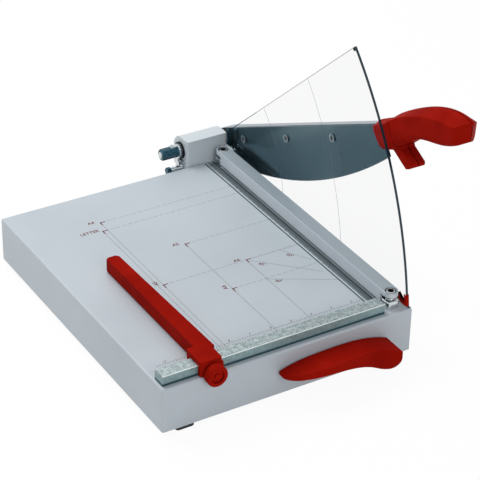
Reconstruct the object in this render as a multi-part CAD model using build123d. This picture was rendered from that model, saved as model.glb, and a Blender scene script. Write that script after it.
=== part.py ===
"""Desk lever trimmer with clamp, back gauge and guard. Millimetres, +Z up.

The origin is the cutting datum: the point of the table top where the cutting edge (X = 0) meets the back face of
the front stop bar (Y = 0). X runs to the right, Y away from the user, and the arm is drawn raised.
"""
import os
from math import asin, cos, degrees, radians, sin, sqrt

from build123d import *

os.makedirs("parts", exist_ok=True)

# ---------------------------------------------------------------- driving dimensions
# table
TABLE_REACH = 305.0        # cutting edge to the table's left side
TABLE_DEPTH = 383.0        # front wall to back wall
FRONT_MARGIN = 22.0        # stop face to the front wall
TABLE_HEIGHT = 53.0        # folded walls
SHEET = 2.0
BEND_RADIUS = 2.5
RETURN_FLANGE = 16.0
FOOT_SIZE = 22.0
FOOT_HEIGHT = 5.0
FOOT_INSET = 1.0           # foot's side to the wall it stands behind

# stop bar, back gauge
STOP_BAR_INSET = 3.5       # table's left side to the bar's left end
STOP_BAR_DEPTH = 16.0
STOP_BAR_HEIGHT = 12.0
STOP_BAR_END = 31.5        # cutting edge to the bar's right end
GAUGE_INSET = 53.0         # table's left side to the left side of the back gauge's arm
GAUGE_BASE_WIDTH = 19.7
GAUGE_TIP_WIDTH = 14.5
GAUGE_HEIGHT = 18.0
GAUGE_REACH = 203.0        # stop face to the arm's tip
GAUGE_WALL = 2.5
GAUGE_HEAD_WIDTH = 25.0
GAUGE_HEAD_FRONT = 5.3     # lip in front of the stop bar
GAUGE_HEAD_BACK = 8.0      # lip behind it
KNOB_RADIUS = 12.0
KNOB_THICKNESS = 10.0
KNOB_STUD_RADIUS = 2.0

# knives and clamp
KNIFE_THICKNESS = 4.0
KNIFE_HEIGHT = 30.0
RAIL_THICKNESS = 5.5
SCALE_STRIP_WIDTH = 12.5
SCALE_STRIP_EDGE = 37.0    # cutting edge to the strip's left edge
CLAMP_LEFT = 26.0          # cutting edge to the clamp's left face
CLAMP_WIDTH = 16.0
CLAMP_HEIGHT = 15.0
CLAMP_WALL = 3.0
CLAMP_GAP = 5.0            # throat under the raised clamp
CLAMP_TRAVEL = 4.8
CLAMP_EDGE = 0.8
CLAMP_TAB = 5.5            # thickness of the milled end tabs
POST_RADIUS = 4.0
POST_FRONT_INSET = 16.0    # front wall to the front post
POST_REAR_INSET = 13.0     # back wall to the rear post
POST_NECK_RADIUS = 3.0
SPRING_WIRE = 1.3
SPRING_TURNS = 3.5

# clamp drive
SHAFT_X = -45.0
SHAFT_Z = -33.0
SHAFT_RADIUS = 6.0
CRANK_RADIUS = 24.0
CRANK_THICKNESS = 6.0
CRANK_PIN_RADIUS = 3.0
YOKE_THICKNESS = 5.0
YOKE_HEIGHT = 28.0
LEVER_FRONT = 54.5         # stop face to the lever's front
LEVER_TIP = 168.0          # cutting edge to the lever's left tip

# pivot block and arm
PIVOT_BEHIND = 16.0        # back wall to the pivot
PIVOT_Z = 16.0
PIVOT_BOLT_RADIUS = 6.0
BLOCK_LENGTH = 54.0
BLOCK_RIGHT = 6.0          # cutting edge to the block's right end
BLOCK_BOSS_RADIUS = 17.0
BLOCK_FOOT_DEPTH = 21.0
BLOCK_BOTTOM = -46.0
ARM_ELEVATION = 26.0       # rest position, degrees above the table
ARM_THICKNESS = 14.0
ARM_HEIGHT = 26.0
BLADE_THICKNESS = 4.0
BLADE_EDGE_RADIUS = 671.0
BLADE_EDGE_CENTRE = (172.5, 620.0)
BLADE_SHORT = 18.5         # how much shorter than the table the blade ends
HANDLE_WIDTH = 29.2
HANDLE_LAP = 13.5          # how far the collar covers the blade's end

# guard
GUARD_THICKNESS = 3.0
GUARD_RIGHT = 4.8          # cutting edge to the guard's right face
GUARD_ARC_OFFSET = (46.2, -67.3)   # from the pivot to the outer arc's centre
GUARD_ARC_EXTRA = 65.0     # the arc's radius beyond the table's depth
GUARD_REAR_INSET = 6.0     # back wall to the guard's rear edge
GUARD_REAR_TOP = 38.5
GUARD_TOP_SLOPE = 41.0     # degrees
GUARD_TOE = 8.2            # length of the lowest part of the guard's edge
GUARD_TOE_LIFT = 5.6       # its height over the table
GUARD_HEEL = 18.0          # from the front corner to the raised bottom edge
GUARD_PAPER_GAP = 12.0     # height of that edge over the table

# fits and clearances
RUNNING = 0.05             # radial running clearance
SLIDE = 0.2                # clearance of moulded slides
SHEAR = 0.1                # gap between the two knives
LIFT = 0.3                 # gap under pieces that slide over the table

# ---------------------------------------------------------------- places worked out from them
table_left = -TABLE_REACH
table_right = -KNIFE_THICKNESS
table_front = -FRONT_MARGIN
table_back = table_front + TABLE_DEPTH
table_bottom = -TABLE_HEIGHT
ground = table_bottom - FOOT_HEIGHT
inner_front = table_front + SHEET
inner_back = table_back - SHEET
inner_left = table_left + SHEET
inner_right = table_right - SHEET

clamp_left = -CLAMP_LEFT
clamp_right = clamp_left + CLAMP_WIDTH
post_x = (clamp_left + clamp_right) / 2
clamp_top = CLAMP_GAP + CLAMP_HEIGHT
post_front_y = table_front + POST_FRONT_INSET
post_rear_y = table_back - POST_REAR_INSET
post_places = (post_front_y, post_rear_y)
pivot_y = table_back + PIVOT_BEHIND
half_swing = asin(CLAMP_TRAVEL / 2 / CRANK_RADIUS)
lever_swing_deg = 2 * degrees(half_swing)


# ---------------------------------------------------------------- drawing helpers
def block(x0, x1, y0, y1, z0, z1):
    """A box between two corners."""
    return Pos((x0 + x1) / 2, (y0 + y1) / 2, (z0 + z1) / 2) * Box(x1 - x0, y1 - y0, z1 - z0)


def rod_x(x0, x1, y, z, radius):
    return Pos((x0 + x1) / 2, y, z) * Rot(0, 90, 0) * Cylinder(radius, x1 - x0)


def rod_y(y0, y1, x, z, radius):
    return Pos(x, (y0 + y1) / 2, z) * Rot(90, 0, 0) * Cylinder(radius, y1 - y0)


def rod_z(z0, z1, x, y, radius):
    return Pos(x, y, (z0 + z1) / 2) * Cylinder(radius, z1 - z0)


def outline(*edges):
    """A flat face inside edges that follow each other."""
    return make_face(Curve() + list(edges))


def slab_x(face, x0, x1):
    """A face drawn in (Y, Z), given thickness from x0 to x1."""
    return Pos(x0, 0, 0) * extrude(Plane.YZ * face, x1 - x0, dir=(1, 0, 0))


def slab_y(face, y0, y1):
    """A face drawn in (X, Z), given thickness from y0 to y1."""
    return Pos(0, y0, 0) * extrude(Plane.XZ * face, y1 - y0, dir=(0, 1, 0))


def slab_z(face, z0, z1):
    """A face drawn in (X, Y), given thickness from z0 to z1."""
    return Pos(0, 0, z0) * extrude(face, z1 - z0, dir=(0, 0, 1))


def hex_prism_x(x0, x1, y, z, across_flats):
    flat = RegularPolygon(across_flats / 2, 6, major_radius=False)
    return slab_x(Pos(y, z) * flat, x0, x1)


def washer_x(x0, x1, y, z, outer, inner):
    return rod_x(x0, x1, y, z, outer) - rod_x(x0, x1, y, z, inner)


def cap_screw(head_radius, head, shank_radius, length):
    """A socket screw along -Z whose head stands on Z = 0."""
    body = Cylinder(head_radius, head, align=(Align.CENTER, Align.CENTER, Align.MIN))
    body = chamfer(body.edges().sort_by(Axis.Z)[-1], head * 0.15)
    socket = Pos(0, 0, head * 0.45) * extrude(RegularPolygon(head_radius * 0.5, 6), head)
    shank = Cylinder(shank_radius, length, align=(Align.CENTER, Align.CENTER, Align.MAX))
    return body - socket + shank


# ---------------------------------------------------------------- table
foot_places = [
    (x, y)
    for x in (table_left + FOOT_SIZE / 2 + 17.0, table_right - FOOT_SIZE / 2 - FOOT_INSET - SHEET)
    for y in (table_front + FOOT_SIZE / 2 + FOOT_INSET, table_back - FOOT_SIZE / 2 - FOOT_INSET)
]
FOOT_SCREW_RADIUS = 2.0
stop_bar_right = -STOP_BAR_END
stop_bar_left = table_left + STOP_BAR_INSET
stop_bar_length = stop_bar_right - stop_bar_left
STOP_SCREW_RADIUS = 2.5
STOP_SCREW_INSET = 25.0
stop_screw_places = [
    stop_bar_left + STOP_SCREW_INSET + i * (stop_bar_length - 2 * STOP_SCREW_INSET) / 2 for i in range(3)
]
BUSH_RADIUS = 5.5
BUSH_LENGTH = 14.0
BUSH_FLANGE_RADIUS = 6.1
BUSH_FLANGE = 1.2
strip_left = -SCALE_STRIP_EDGE
strip_right = strip_left + SCALE_STRIP_WIDTH
STRIP_START = 1.0
STRIP_END_GAP = 3.0
strip_back = table_back - STRIP_END_GAP
STRIP_GROOVE = 1.2
SHAFT_HOLE_CLEARANCE = 0.8
BLOCK_SCREW_RADIUS = 4.0
BLOCK_SCREW_INSET = 12.0
block_left = -BLOCK_RIGHT - BLOCK_LENGTH
block_right = -BLOCK_RIGHT
BLOCK_SCREW_HEAD_RADIUS = 6.5
BLOCK_SCREW_HEAD = 7.0
BACK_PLATE = 2.4
BACK_PLATE_TOP = -16.0
BACK_PLATE_MARGIN = 4.0
BLOCK_SCREW_LOW = 9.0      # above the block's underside
BLOCK_SCREW_PITCH = 18.0
block_screw_places = [
    (x, z)
    for x in (block_left + BLOCK_SCREW_INSET, block_right - BLOCK_SCREW_INSET)
    for z in (BLOCK_BOTTOM + BLOCK_SCREW_LOW, BLOCK_BOTTOM + BLOCK_SCREW_LOW + BLOCK_SCREW_PITCH)
]
KNIFE_SCREW_RADIUS = 2.5
KNIFE_SCREW_COUNT = 5
KNIFE_SCREW_INSET = 24.0
knife_screw_z = -KNIFE_HEIGHT / 2
knife_screw_places = [
    table_front + KNIFE_SCREW_INSET + i * (TABLE_DEPTH - 2 * KNIFE_SCREW_INSET) / (KNIFE_SCREW_COUNT - 1)
    for i in range(KNIFE_SCREW_COUNT)
]

COVER_STANDBACK = 0.2      # the cover's right end, left of the cutting plane


def make_table_shell():
    """Folded sheet box, open underneath but for a return flange."""
    shell = block(table_left, table_right, table_front, table_back, table_bottom, 0)
    bends = shell.edges().filter_by(Axis.Z) + shell.edges().group_by(Axis.Z)[-1]
    knife_side = [e for e in bends if abs(e.center().X - table_right) < 0.01]
    shell = fillet([e for e in bends if e not in knife_side], BEND_RADIUS)
    shell -= block(inner_left, inner_right, inner_front, inner_back, table_bottom + SHEET, -SHEET)
    shell -= block(
        table_left + RETURN_FLANGE,
        inner_right,
        table_front + RETURN_FLANGE,
        table_back - RETURN_FLANGE,
        table_bottom,
        table_bottom + SHEET,
    )
    shell -= block(strip_left - STRIP_GROOVE, strip_right, STRIP_START, strip_back, -SHEET, 0)
    for y in post_places:
        shell -= rod_z(-SHEET, 0, post_x, y, BUSH_RADIUS)
    for x in stop_screw_places:
        shell -= rod_z(-SHEET, 0, x, -STOP_BAR_DEPTH / 2, STOP_SCREW_RADIUS)
    for x, y in foot_places:
        shell -= rod_z(table_bottom, table_bottom + SHEET, x, y, FOOT_SCREW_RADIUS)
    for x, z in block_screw_places:
        shell -= rod_y(inner_back, table_back, x, z, BLOCK_SCREW_RADIUS)
    for y in knife_screw_places:
        shell -= rod_x(inner_right, table_right, y, knife_screw_z, KNIFE_SCREW_RADIUS)
    shell -= rod_y(table_front, inner_front, SHAFT_X, SHAFT_Z, SHAFT_RADIUS + SHAFT_HOLE_CLEARANCE)
    return shell + knife_end_cover()


def knife_end_cover():
    """The front wall runs on over the knife's end."""
    sides = (table_right - SHEET, -COVER_STANDBACK)
    cover = block(*sides, table_front, table_front + 4 * SHEET, table_bottom, 0)
    top_edge = cover.edges().filter_by(Axis.X).group_by(Axis.Z)[-1].sort_by(Axis.Y)[0]
    return fillet(top_edge, BEND_RADIUS) & block(*sides, table_front, inner_front, table_bottom, 0)


def make_rubber_feet():
    """Square moulded feet with rounded corners and a recess for the screw head."""
    pad = RectangleRounded(FOOT_SIZE, FOOT_SIZE, 4.0)
    foot = extrude(pad, FOOT_HEIGHT)
    foot = chamfer(foot.edges().group_by(Axis.Z)[0], 0.8)
    foot -= Cylinder(FOOT_SCREW_RADIUS, 4 * FOOT_HEIGHT)
    foot -= Cylinder(FOOT_SCREW_RADIUS + 2.5, FOOT_HEIGHT)
    return [Pos(x, y, ground) * foot for x, y in foot_places]


def make_foot_screws():
    """Screws whose heads sit in the feet and whose shanks hold in the return flange."""
    screw = Rot(180, 0, 0) * cap_screw(FOOT_SCREW_RADIUS + 2.0, 1.8, FOOT_SCREW_RADIUS, FOOT_HEIGHT / 2 + SHEET)
    return [Pos(x, y, ground + FOOT_HEIGHT / 2) * screw for x, y in foot_places]


# ---------------------------------------------------------------- stop bar and scale strip
STOP_SCREW_LENGTH = 10.0
STOP_SCREW_HEAD = 3.5


def make_stop_bar():
    bar = block(stop_bar_left, stop_bar_right, -STOP_BAR_DEPTH, 0, 0, STOP_BAR_HEIGHT)
    bar = chamfer(bar.edges().group_by(Axis.Z)[-1], 0.6)
    for x in stop_screw_places:
        bar -= rod_z(0, STOP_SCREW_LENGTH - SHEET, x, -STOP_BAR_DEPTH / 2, STOP_SCREW_RADIUS)
    return bar


def make_stop_bar_screws():
    screw = Rot(180, 0, 0) * cap_screw(STOP_SCREW_RADIUS * 1.8, STOP_SCREW_HEAD, STOP_SCREW_RADIUS, STOP_SCREW_LENGTH)
    return [Pos(x, -STOP_BAR_DEPTH / 2, -SHEET) * screw for x in stop_screw_places]


def make_scale_strip():
    """Steel strip let into the table, with a ground bevel along its left edge."""
    strip = block(strip_left, strip_right, STRIP_START, strip_back, -SHEET, 0)
    left_edge = strip.edges().filter_by(Axis.Y).group_by(Axis.Z)[-1].sort_by(Axis.X)[0]
    return chamfer(left_edge, 0.7)


def make_strip_carrier():
    """Flat under the window, spot-welded to the sheet and relieved round the posts' bushes."""
    carrier = block(carrier_left, strip_right + 2.0, STRIP_START - 3.0, strip_back - 3.0, -2 * SHEET, -SHEET)
    for y in post_places:
        carrier -= rod_z(-2 * SHEET, -SHEET, post_x, y, BUSH_RADIUS + 0.5)
    return carrier


CARRIER_OVERHANG = 25.0
carrier_left = strip_left - CARRIER_OVERHANG

# ---------------------------------------------------------------- lower knife and its rail
RAIL_HEIGHT = 34.0
rail_left = inner_right - RAIL_THICKNESS


def make_side_rail():
    """Steel flat that stiffens the cutting side and takes the knife screws."""
    rail = block(rail_left, inner_right, inner_front + 2.0, inner_back - 3.0, -RAIL_HEIGHT, -SHEET)
    for y in knife_screw_places:
        rail -= rod_x(rail_left, inner_right, y, knife_screw_z, KNIFE_SCREW_RADIUS)
    return rail


def make_lower_knife():
    """Hardened bar, flush with the table top, whose top right edge is the cutting edge."""
    knife = block(table_right, 0, inner_front, table_back, -KNIFE_HEIGHT, 0)
    lower_edge = knife.edges().filter_by(Axis.Y).group_by(Axis.Z)[0].sort_by(Axis.X)[-1]
    knife = chamfer(lower_edge, 1.5)
    for y in knife_screw_places:
        knife -= rod_x(table_right, 0, y, knife_screw_z, KNIFE_SCREW_RADIUS)
        knife -= Pos(-KNIFE_SCREW_SINK / 2, y, knife_screw_z) * knife_screw_cone()
    return knife


KNIFE_SCREW_SINK = 2.4


def knife_screw_cone():
    """The countersunk head, point towards the rail."""
    return Rot(0, 90, 0) * Cone(KNIFE_SCREW_RADIUS, KNIFE_SCREW_RADIUS + KNIFE_SCREW_SINK, KNIFE_SCREW_SINK)


def make_knife_screws():
    """Countersunk screws just below flush with the knife's face."""
    screws = []
    for y in knife_screw_places:
        head = Pos(-KNIFE_SCREW_SINK / 2, y, knife_screw_z) * knife_screw_cone()
        shank = rod_x(rail_left, -KNIFE_SCREW_SINK, y, knife_screw_z, KNIFE_SCREW_RADIUS)
        socket = hex_prism_x(-1.6, 0, y, knife_screw_z, 3.0)
        screws.append(head + shank - socket - block(-SHEAR, 1, y - 9, y + 9, -KNIFE_HEIGHT, 0))
    return screws


# ---------------------------------------------------------------- pivot block and bolt
SPRING_STACK = 3.2
NUT_LENGTH = 21.5
NUT_FLATS = 13.0
BOLT_TAIL = 1.4
BOLT_THREAD_RADIUS = 4.0
BOLT_HEAD_RADIUS = 11.0
BOLT_HEAD = 5.0
WASHER_RADIUS = 10.4
THRUST_WASHER = 2.8
BUSH_WALL = 2.0
ARM_BUSH_FLANGE = 1.0
FRICTION_WASHER = 1.5
blade_left = SHEAR
arm_left = blade_left + BLADE_THICKNESS
arm_right = arm_left + ARM_THICKNESS
bolt_head_left = arm_right + ARM_BUSH_FLANGE + SHEAR
washer_left = block_left - SPRING_STACK - THRUST_WASHER
nut_left = washer_left - NUT_LENGTH
bolt_left = nut_left - BOLT_TAIL
block_face = table_back
block_foot_back = block_face + BLOCK_FOOT_DEPTH
block_top = PIVOT_Z + BLOCK_BOSS_RADIUS


def make_pivot_block():
    """Casting: a boss round the pivot bolt on a foot bolted to the table's back wall."""
    boss_low = PIVOT_Z - sqrt(BLOCK_BOSS_RADIUS**2 - (block_foot_back - pivot_y) ** 2)
    rear_of_boss = (pivot_y + BLOCK_BOSS_RADIUS, PIVOT_Z)
    profile = outline(
        Line((block_face, BLOCK_BOTTOM), (block_face, block_top)),
        Line((block_face, block_top), (pivot_y, block_top)),
        RadiusArc((pivot_y, block_top), rear_of_boss, BLOCK_BOSS_RADIUS),
        RadiusArc(rear_of_boss, (block_foot_back, boss_low), BLOCK_BOSS_RADIUS),
        Line((block_foot_back, boss_low), (block_foot_back, BLOCK_BOTTOM)),
        Line((block_foot_back, BLOCK_BOTTOM), (block_face, BLOCK_BOTTOM)),
    )
    casting = slab_x(profile, block_left, block_right)
    front_corner = casting.edges().filter_by(Axis.Z).sort_by(Axis.Y)[:2].sort_by(Axis.X)[0]
    casting = fillet(front_corner, 3.0)
    casting -= rod_x(block_left, block_right, pivot_y, PIVOT_Z, PIVOT_BOLT_RADIUS + RUNNING)
    for x, z in block_screw_places:
        casting -= rod_y(block_face, block_foot_back, x, z, BLOCK_SCREW_RADIUS)
        casting -= rod_y(block_foot_back - BLOCK_SCREW_HEAD - 1.0, block_foot_back + 1.0, x, z, BLOCK_SCREW_HEAD_RADIUS)
    casting -= rod_x(block_left, block_left + 12.0, LOCK_SCREW_Y, LOCK_SCREW_Z, LOCK_SCREW_RADIUS)
    casting -= rod_y(block_face, block_face + 8.0, guard_screw_x, guard_screw_z, GUARD_SCREW_RADIUS)
    return casting


def make_block_screws():
    """Screws from behind through the casting's foot into the backing plate."""
    seat = block_foot_back - BLOCK_SCREW_HEAD - 1.0
    length = seat - (inner_back - BACK_PLATE)
    screw = Rot(-90, 0, 0) * cap_screw(BLOCK_SCREW_HEAD_RADIUS, BLOCK_SCREW_HEAD, BLOCK_SCREW_RADIUS, length)
    return [Pos(x, seat, z) * screw for x, z in block_screw_places]


def make_back_plate():
    """Threaded plate inside the back wall that takes the block's screws."""
    left = block_left - BACK_PLATE_MARGIN
    plate = block(left, rail_left - 1.0, inner_back - BACK_PLATE, inner_back, BLOCK_BOTTOM, BACK_PLATE_TOP)
    for x, z in block_screw_places:
        plate -= rod_y(inner_back - BACK_PLATE, inner_back, x, z, BLOCK_SCREW_RADIUS)
    return plate


def make_pivot_bolt():
    """Shoulder bolt: head right of the arm, threaded tail left of the block."""
    bolt = rod_x(washer_left, bolt_head_left, pivot_y, PIVOT_Z, PIVOT_BOLT_RADIUS)
    thread = rod_x(bolt_left, washer_left, pivot_y, PIVOT_Z, BOLT_THREAD_RADIUS)
    bolt += chamfer(thread.edges().sort_by(Axis.X)[0], 0.8)
    head = rod_x(bolt_head_left, bolt_head_left + BOLT_HEAD, pivot_y, PIVOT_Z, BOLT_HEAD_RADIUS)
    head = fillet(head.edges().sort_by(Axis.X)[-1], 1.5)
    head -= hex_prism_x(bolt_head_left + 2.0, bolt_head_left + BOLT_HEAD, pivot_y, PIVOT_Z, 8.0)
    return bolt + head


def make_disc_springs():
    """Two conical springs, opposed, that keep the arm's pivot tight."""
    inner = PIVOT_BOLT_RADIUS + 0.3
    outer = WASHER_RADIUS
    thick = 0.9
    rise = SPRING_STACK / 2 - thick
    section = Polygon((inner, rise), (inner, rise + thick), (outer, thick), (outer, 0), align=None)
    disc = revolve(Plane.XZ * section, Axis.Z)
    left = Pos(block_left, pivot_y, PIVOT_Z) * Rot(0, -90, 0) * disc
    right = Pos(block_left - SPRING_STACK, pivot_y, PIVOT_Z) * Rot(0, 90, 0) * disc
    return [left, right]


def make_thrust_washer():
    """Tab washer: its tongue sits in the lock plate's fork, its lug lies on the nut's top flat."""
    washer = rod_x(washer_left, block_left - SPRING_STACK, pivot_y, PIVOT_Z, WASHER_RADIUS - 1.5)
    tongue_y = (pivot_y - TONGUE_WIDTH / 2, pivot_y + TONGUE_WIDTH / 2)
    washer += block(washer_left, block_left - SPRING_STACK, *tongue_y, TONGUE_LOW, PIVOT_Z)
    lug_y = (pivot_y - LUG_WIDTH / 2, pivot_y + LUG_WIDTH / 2)
    washer += block(washer_left - LUG_LENGTH, washer_left + 0.5, *lug_y, lug_bottom, lug_bottom + LUG_THICKNESS)
    washer -= rod_z(lug_bottom, lug_bottom + LUG_THICKNESS, grub_x, pivot_y, GRUB_RADIUS)
    return washer - rod_x(washer_left, block_left - SPRING_STACK, pivot_y, PIVOT_Z, PIVOT_BOLT_RADIUS)


def make_pivot_nut():
    nut = hex_prism_x(nut_left, washer_left, pivot_y, PIVOT_Z, NUT_FLATS)
    rounding = rod_x(nut_left, washer_left, pivot_y, PIVOT_Z, NUT_FLATS * 0.56)
    nut &= chamfer(rounding.edges().sort_by(Axis.X)[0], 1.0)
    nut -= rod_x(nut_left, washer_left, pivot_y, PIVOT_Z, BOLT_THREAD_RADIUS)
    return nut - rod_z(PIVOT_Z, PIVOT_Z + NUT_FLATS, grub_x, pivot_y, GRUB_RADIUS)


def make_nut_lock_screw():
    """Small screw through the washer's lug and the nut, down on the thread."""
    low = PIVOT_Z + BOLT_THREAD_RADIUS + 0.1
    top = lug_bottom + LUG_THICKNESS
    screw = cap_screw(2.3, 1.3, GRUB_RADIUS, top - low)
    return Pos(grub_x, pivot_y, top) * screw


def make_spacer_ring():
    return washer_x(block_right, -FRICTION_WASHER, pivot_y, PIVOT_Z, 13.0, PIVOT_BOLT_RADIUS + RUNNING)


def make_friction_washer():
    return washer_x(-FRICTION_WASHER, 0, pivot_y, PIVOT_Z, 13.0, PIVOT_BOLT_RADIUS + RUNNING)


GRUB_RADIUS = 1.5
LUG_WIDTH = 5.0
LUG_LENGTH = 9.5
LUG_THICKNESS = 1.6
lug_bottom = PIVOT_Z + NUT_FLATS / 2
grub_x = washer_left - 6.5
TONGUE_WIDTH = 6.0
TONGUE_LOW = -1.0
LOCK_SCREW_RADIUS = 2.5
LOCK_SCREW_Y = block_foot_back - 6.0
LOCK_SCREW_Z = -8.0
LOCK_PLATE = 3.0
LOCK_SLEEVE = 12.0
LOCK_FORK = 3.0
lock_head_x = block_left - LOCK_PLATE - LOCK_SLEEVE


def make_lock_plate():
    """Plate on the block's end with a fork for the washer's tongue and a sleeve for its screw."""
    back = block_foot_back + 2.0
    plate = block(block_left - LOCK_PLATE, block_left, block_foot_back - 14.0, back, -16.0, 4.5)
    plate = fillet(plate.edges().filter_by(Axis.X), 2.0)
    for side in (-1, 1):
        inner = pivot_y + side * (TONGUE_WIDTH / 2 + SLIDE)
        outer = inner + side * 2.5
        prong = block(block_left - LOCK_PLATE - LOCK_FORK, block_left - LOCK_PLATE, min(inner, outer), max(inner, outer), -1.5, 3.5)
        plate += prong
    plate += rod_x(lock_head_x, block_left - LOCK_PLATE, LOCK_SCREW_Y, LOCK_SCREW_Z, 4.0)
    return plate - rod_x(lock_head_x, block_left, LOCK_SCREW_Y, LOCK_SCREW_Z, LOCK_SCREW_RADIUS)


def make_lock_screw():
    shank = rod_x(lock_head_x, block_left + 12.0, LOCK_SCREW_Y, LOCK_SCREW_Z, LOCK_SCREW_RADIUS)
    return shank + hex_prism_x(lock_head_x - 5.0, lock_head_x, LOCK_SCREW_Y, LOCK_SCREW_Z, 8.0)


# ---------------------------------------------------------------- guard
guard_right = -GUARD_RIGHT
guard_left = guard_right - GUARD_THICKNESS
guard_arc_centre = (pivot_y + GUARD_ARC_OFFSET[0], PIVOT_Z + GUARD_ARC_OFFSET[1])
guard_arc_radius = TABLE_DEPTH + GUARD_ARC_EXTRA
guard_top_rear = (table_back - GUARD_REAR_INSET, GUARD_REAR_TOP)
GUARD_SCREW_RADIUS = 1.5
GUARD_BRACKET = 1.5
GUARD_BRACKET_LEG = 8.0
guard_screw_x = guard_left - GUARD_BRACKET - 3.5
GUARD_BRACKET_HEIGHT = 7.0
guard_screw_z = GUARD_PAPER_GAP + 4.0
guard_panel_screw_places = (guard_top_rear[0] - 10.0, guard_top_rear[0] - 3.0)
SHOE_BAND = 3.0
SHOE_SKIN = 0.6
SHOE_TOP = 18.0


def guard_arc_point(z):
    """The point of the guard's outer arc at a height."""
    y = guard_arc_centre[0] - sqrt(guard_arc_radius**2 - (z - guard_arc_centre[1]) ** 2)
    return (y, z)


def guard_tip():
    """Where the straight top edge meets the outer arc."""
    slope = -sin(radians(GUARD_TOP_SLOPE)) / cos(radians(GUARD_TOP_SLOPE))
    y, z = guard_top_rear
    offset = z - slope * y
    # the line z = slope * y + offset cut with the arc's circle, on its front upper side
    a = 1 + slope**2
    b = -2 * guard_arc_centre[0] + 2 * slope * (offset - guard_arc_centre[1])
    c = guard_arc_centre[0] ** 2 + (offset - guard_arc_centre[1]) ** 2 - guard_arc_radius**2
    tip_y = (-b - sqrt(b**2 - 4 * a * c)) / (2 * a)
    return (tip_y, slope * tip_y + offset)


def guard_face():
    """Sector with a straight top edge, an outer arc and a bottom edge that leaves room for the sheet."""
    foot = guard_arc_point(GUARD_TOE_LIFT)
    middle = guard_arc_point(guard_tip()[1] / 2)
    toe = (foot[0] + GUARD_TOE, GUARD_TOE_LIFT)
    heel = (foot[0] + GUARD_HEEL, GUARD_PAPER_GAP)
    rear = (guard_top_rear[0], GUARD_PAPER_GAP)
    return outline(
        ThreePointArc(guard_tip(), middle, foot),
        Line(foot, toe),
        Line(toe, heel),
        Line(heel, rear),
        Line(rear, guard_top_rear),
        Line(guard_top_rear, guard_tip()),
    )


def make_guard_panel():
    panel = slab_x(guard_face(), guard_left, guard_right)
    tip = guard_tip()
    panel -= slab_x(Pos(tip[0], tip[1] - 3.0) * Circle(2.0), guard_left, guard_right)
    for y in guard_panel_screw_places:
        panel -= rod_x(guard_left, guard_right, y, guard_screw_z, GUARD_SCREW_RADIUS)
    return panel


def make_guard_shoe():
    """Thin U-shaped edging clipped over the guard's lower front corner."""
    band = slab_x(guard_shoe_face(), guard_left - SHOE_SKIN, guard_right + SHOE_SKIN)
    return band - slab_x(guard_face(), guard_left, guard_right)


def guard_shoe_face():
    """The edging's side view: a band along the front arc, the toe and the slope behind it."""
    low = GUARD_TOE_LIFT - SHOE_SKIN
    foot = guard_arc_point(low)
    upper = guard_arc_point(SHOE_TOP)
    middle = guard_arc_point((low + SHOE_TOP) / 2)
    toe = (foot[0] + GUARD_TOE + 0.4, low)
    heel = (foot[0] + GUARD_HEEL + 0.4, GUARD_PAPER_GAP - SHOE_SKIN)
    run = sqrt((heel[0] - toe[0]) ** 2 + (heel[1] - toe[1]) ** 2)
    inward = (-(heel[1] - toe[1]) / run * SHOE_BAND, (heel[0] - toe[0]) / run * SHOE_BAND)
    return outline(
        ThreePointArc((upper[0] - SHOE_SKIN, SHOE_TOP), (middle[0] - SHOE_SKIN, middle[1]), (foot[0] - SHOE_SKIN, low)),
        Line((foot[0] - SHOE_SKIN, low), toe),
        Line(toe, heel),
        Line(heel, (heel[0] + inward[0], heel[1] + inward[1])),
        Line((heel[0] + inward[0], heel[1] + inward[1]), (toe[0] + inward[0] / 2, low + SHOE_BAND)),
        Line((toe[0] + inward[0] / 2, low + SHOE_BAND), (foot[0] + SHOE_BAND, low + SHOE_BAND)),
        Line((foot[0] + SHOE_BAND, low + SHOE_BAND), (upper[0] + SHOE_BAND, SHOE_TOP)),
        Line((upper[0] + SHOE_BAND, SHOE_TOP), (upper[0] - SHOE_SKIN, SHOE_TOP)),
    )


def make_guard_bracket():
    """Small folded angle from the casting's face to the guard."""
    low = guard_screw_z - GUARD_BRACKET_HEIGHT / 2
    high = guard_screw_z + GUARD_BRACKET_HEIGHT / 2
    y0 = guard_panel_screw_places[0] - 4.0
    side = block(guard_left - GUARD_BRACKET, guard_left, y0, block_face, low, high)
    flat = block(
        guard_left - GUARD_BRACKET_LEG, guard_left, block_face - GUARD_BRACKET, block_face, low, high
    )
    bracket = side + flat
    for y in guard_panel_screw_places:
        bracket -= rod_x(guard_left - GUARD_BRACKET, guard_left, y, guard_screw_z, GUARD_SCREW_RADIUS)
    return bracket - rod_y(block_face - GUARD_BRACKET, block_face, guard_screw_x, guard_screw_z, GUARD_SCREW_RADIUS)


def make_guard_screws():
    length = GUARD_BRACKET + GUARD_THICKNESS
    side_screw = Rot(0, 90, 0) * cap_screw(2.2, 1.2, GUARD_SCREW_RADIUS, length)
    face_screw = Rot(90, 0, 0) * cap_screw(2.2, 1.2, GUARD_SCREW_RADIUS, GUARD_BRACKET + 8.0)
    screws = [Pos(guard_right, y, guard_screw_z) * side_screw for y in guard_panel_screw_places]
    screws.append(Pos(guard_screw_x, block_face - GUARD_BRACKET, guard_screw_z) * face_screw)
    return screws


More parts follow.
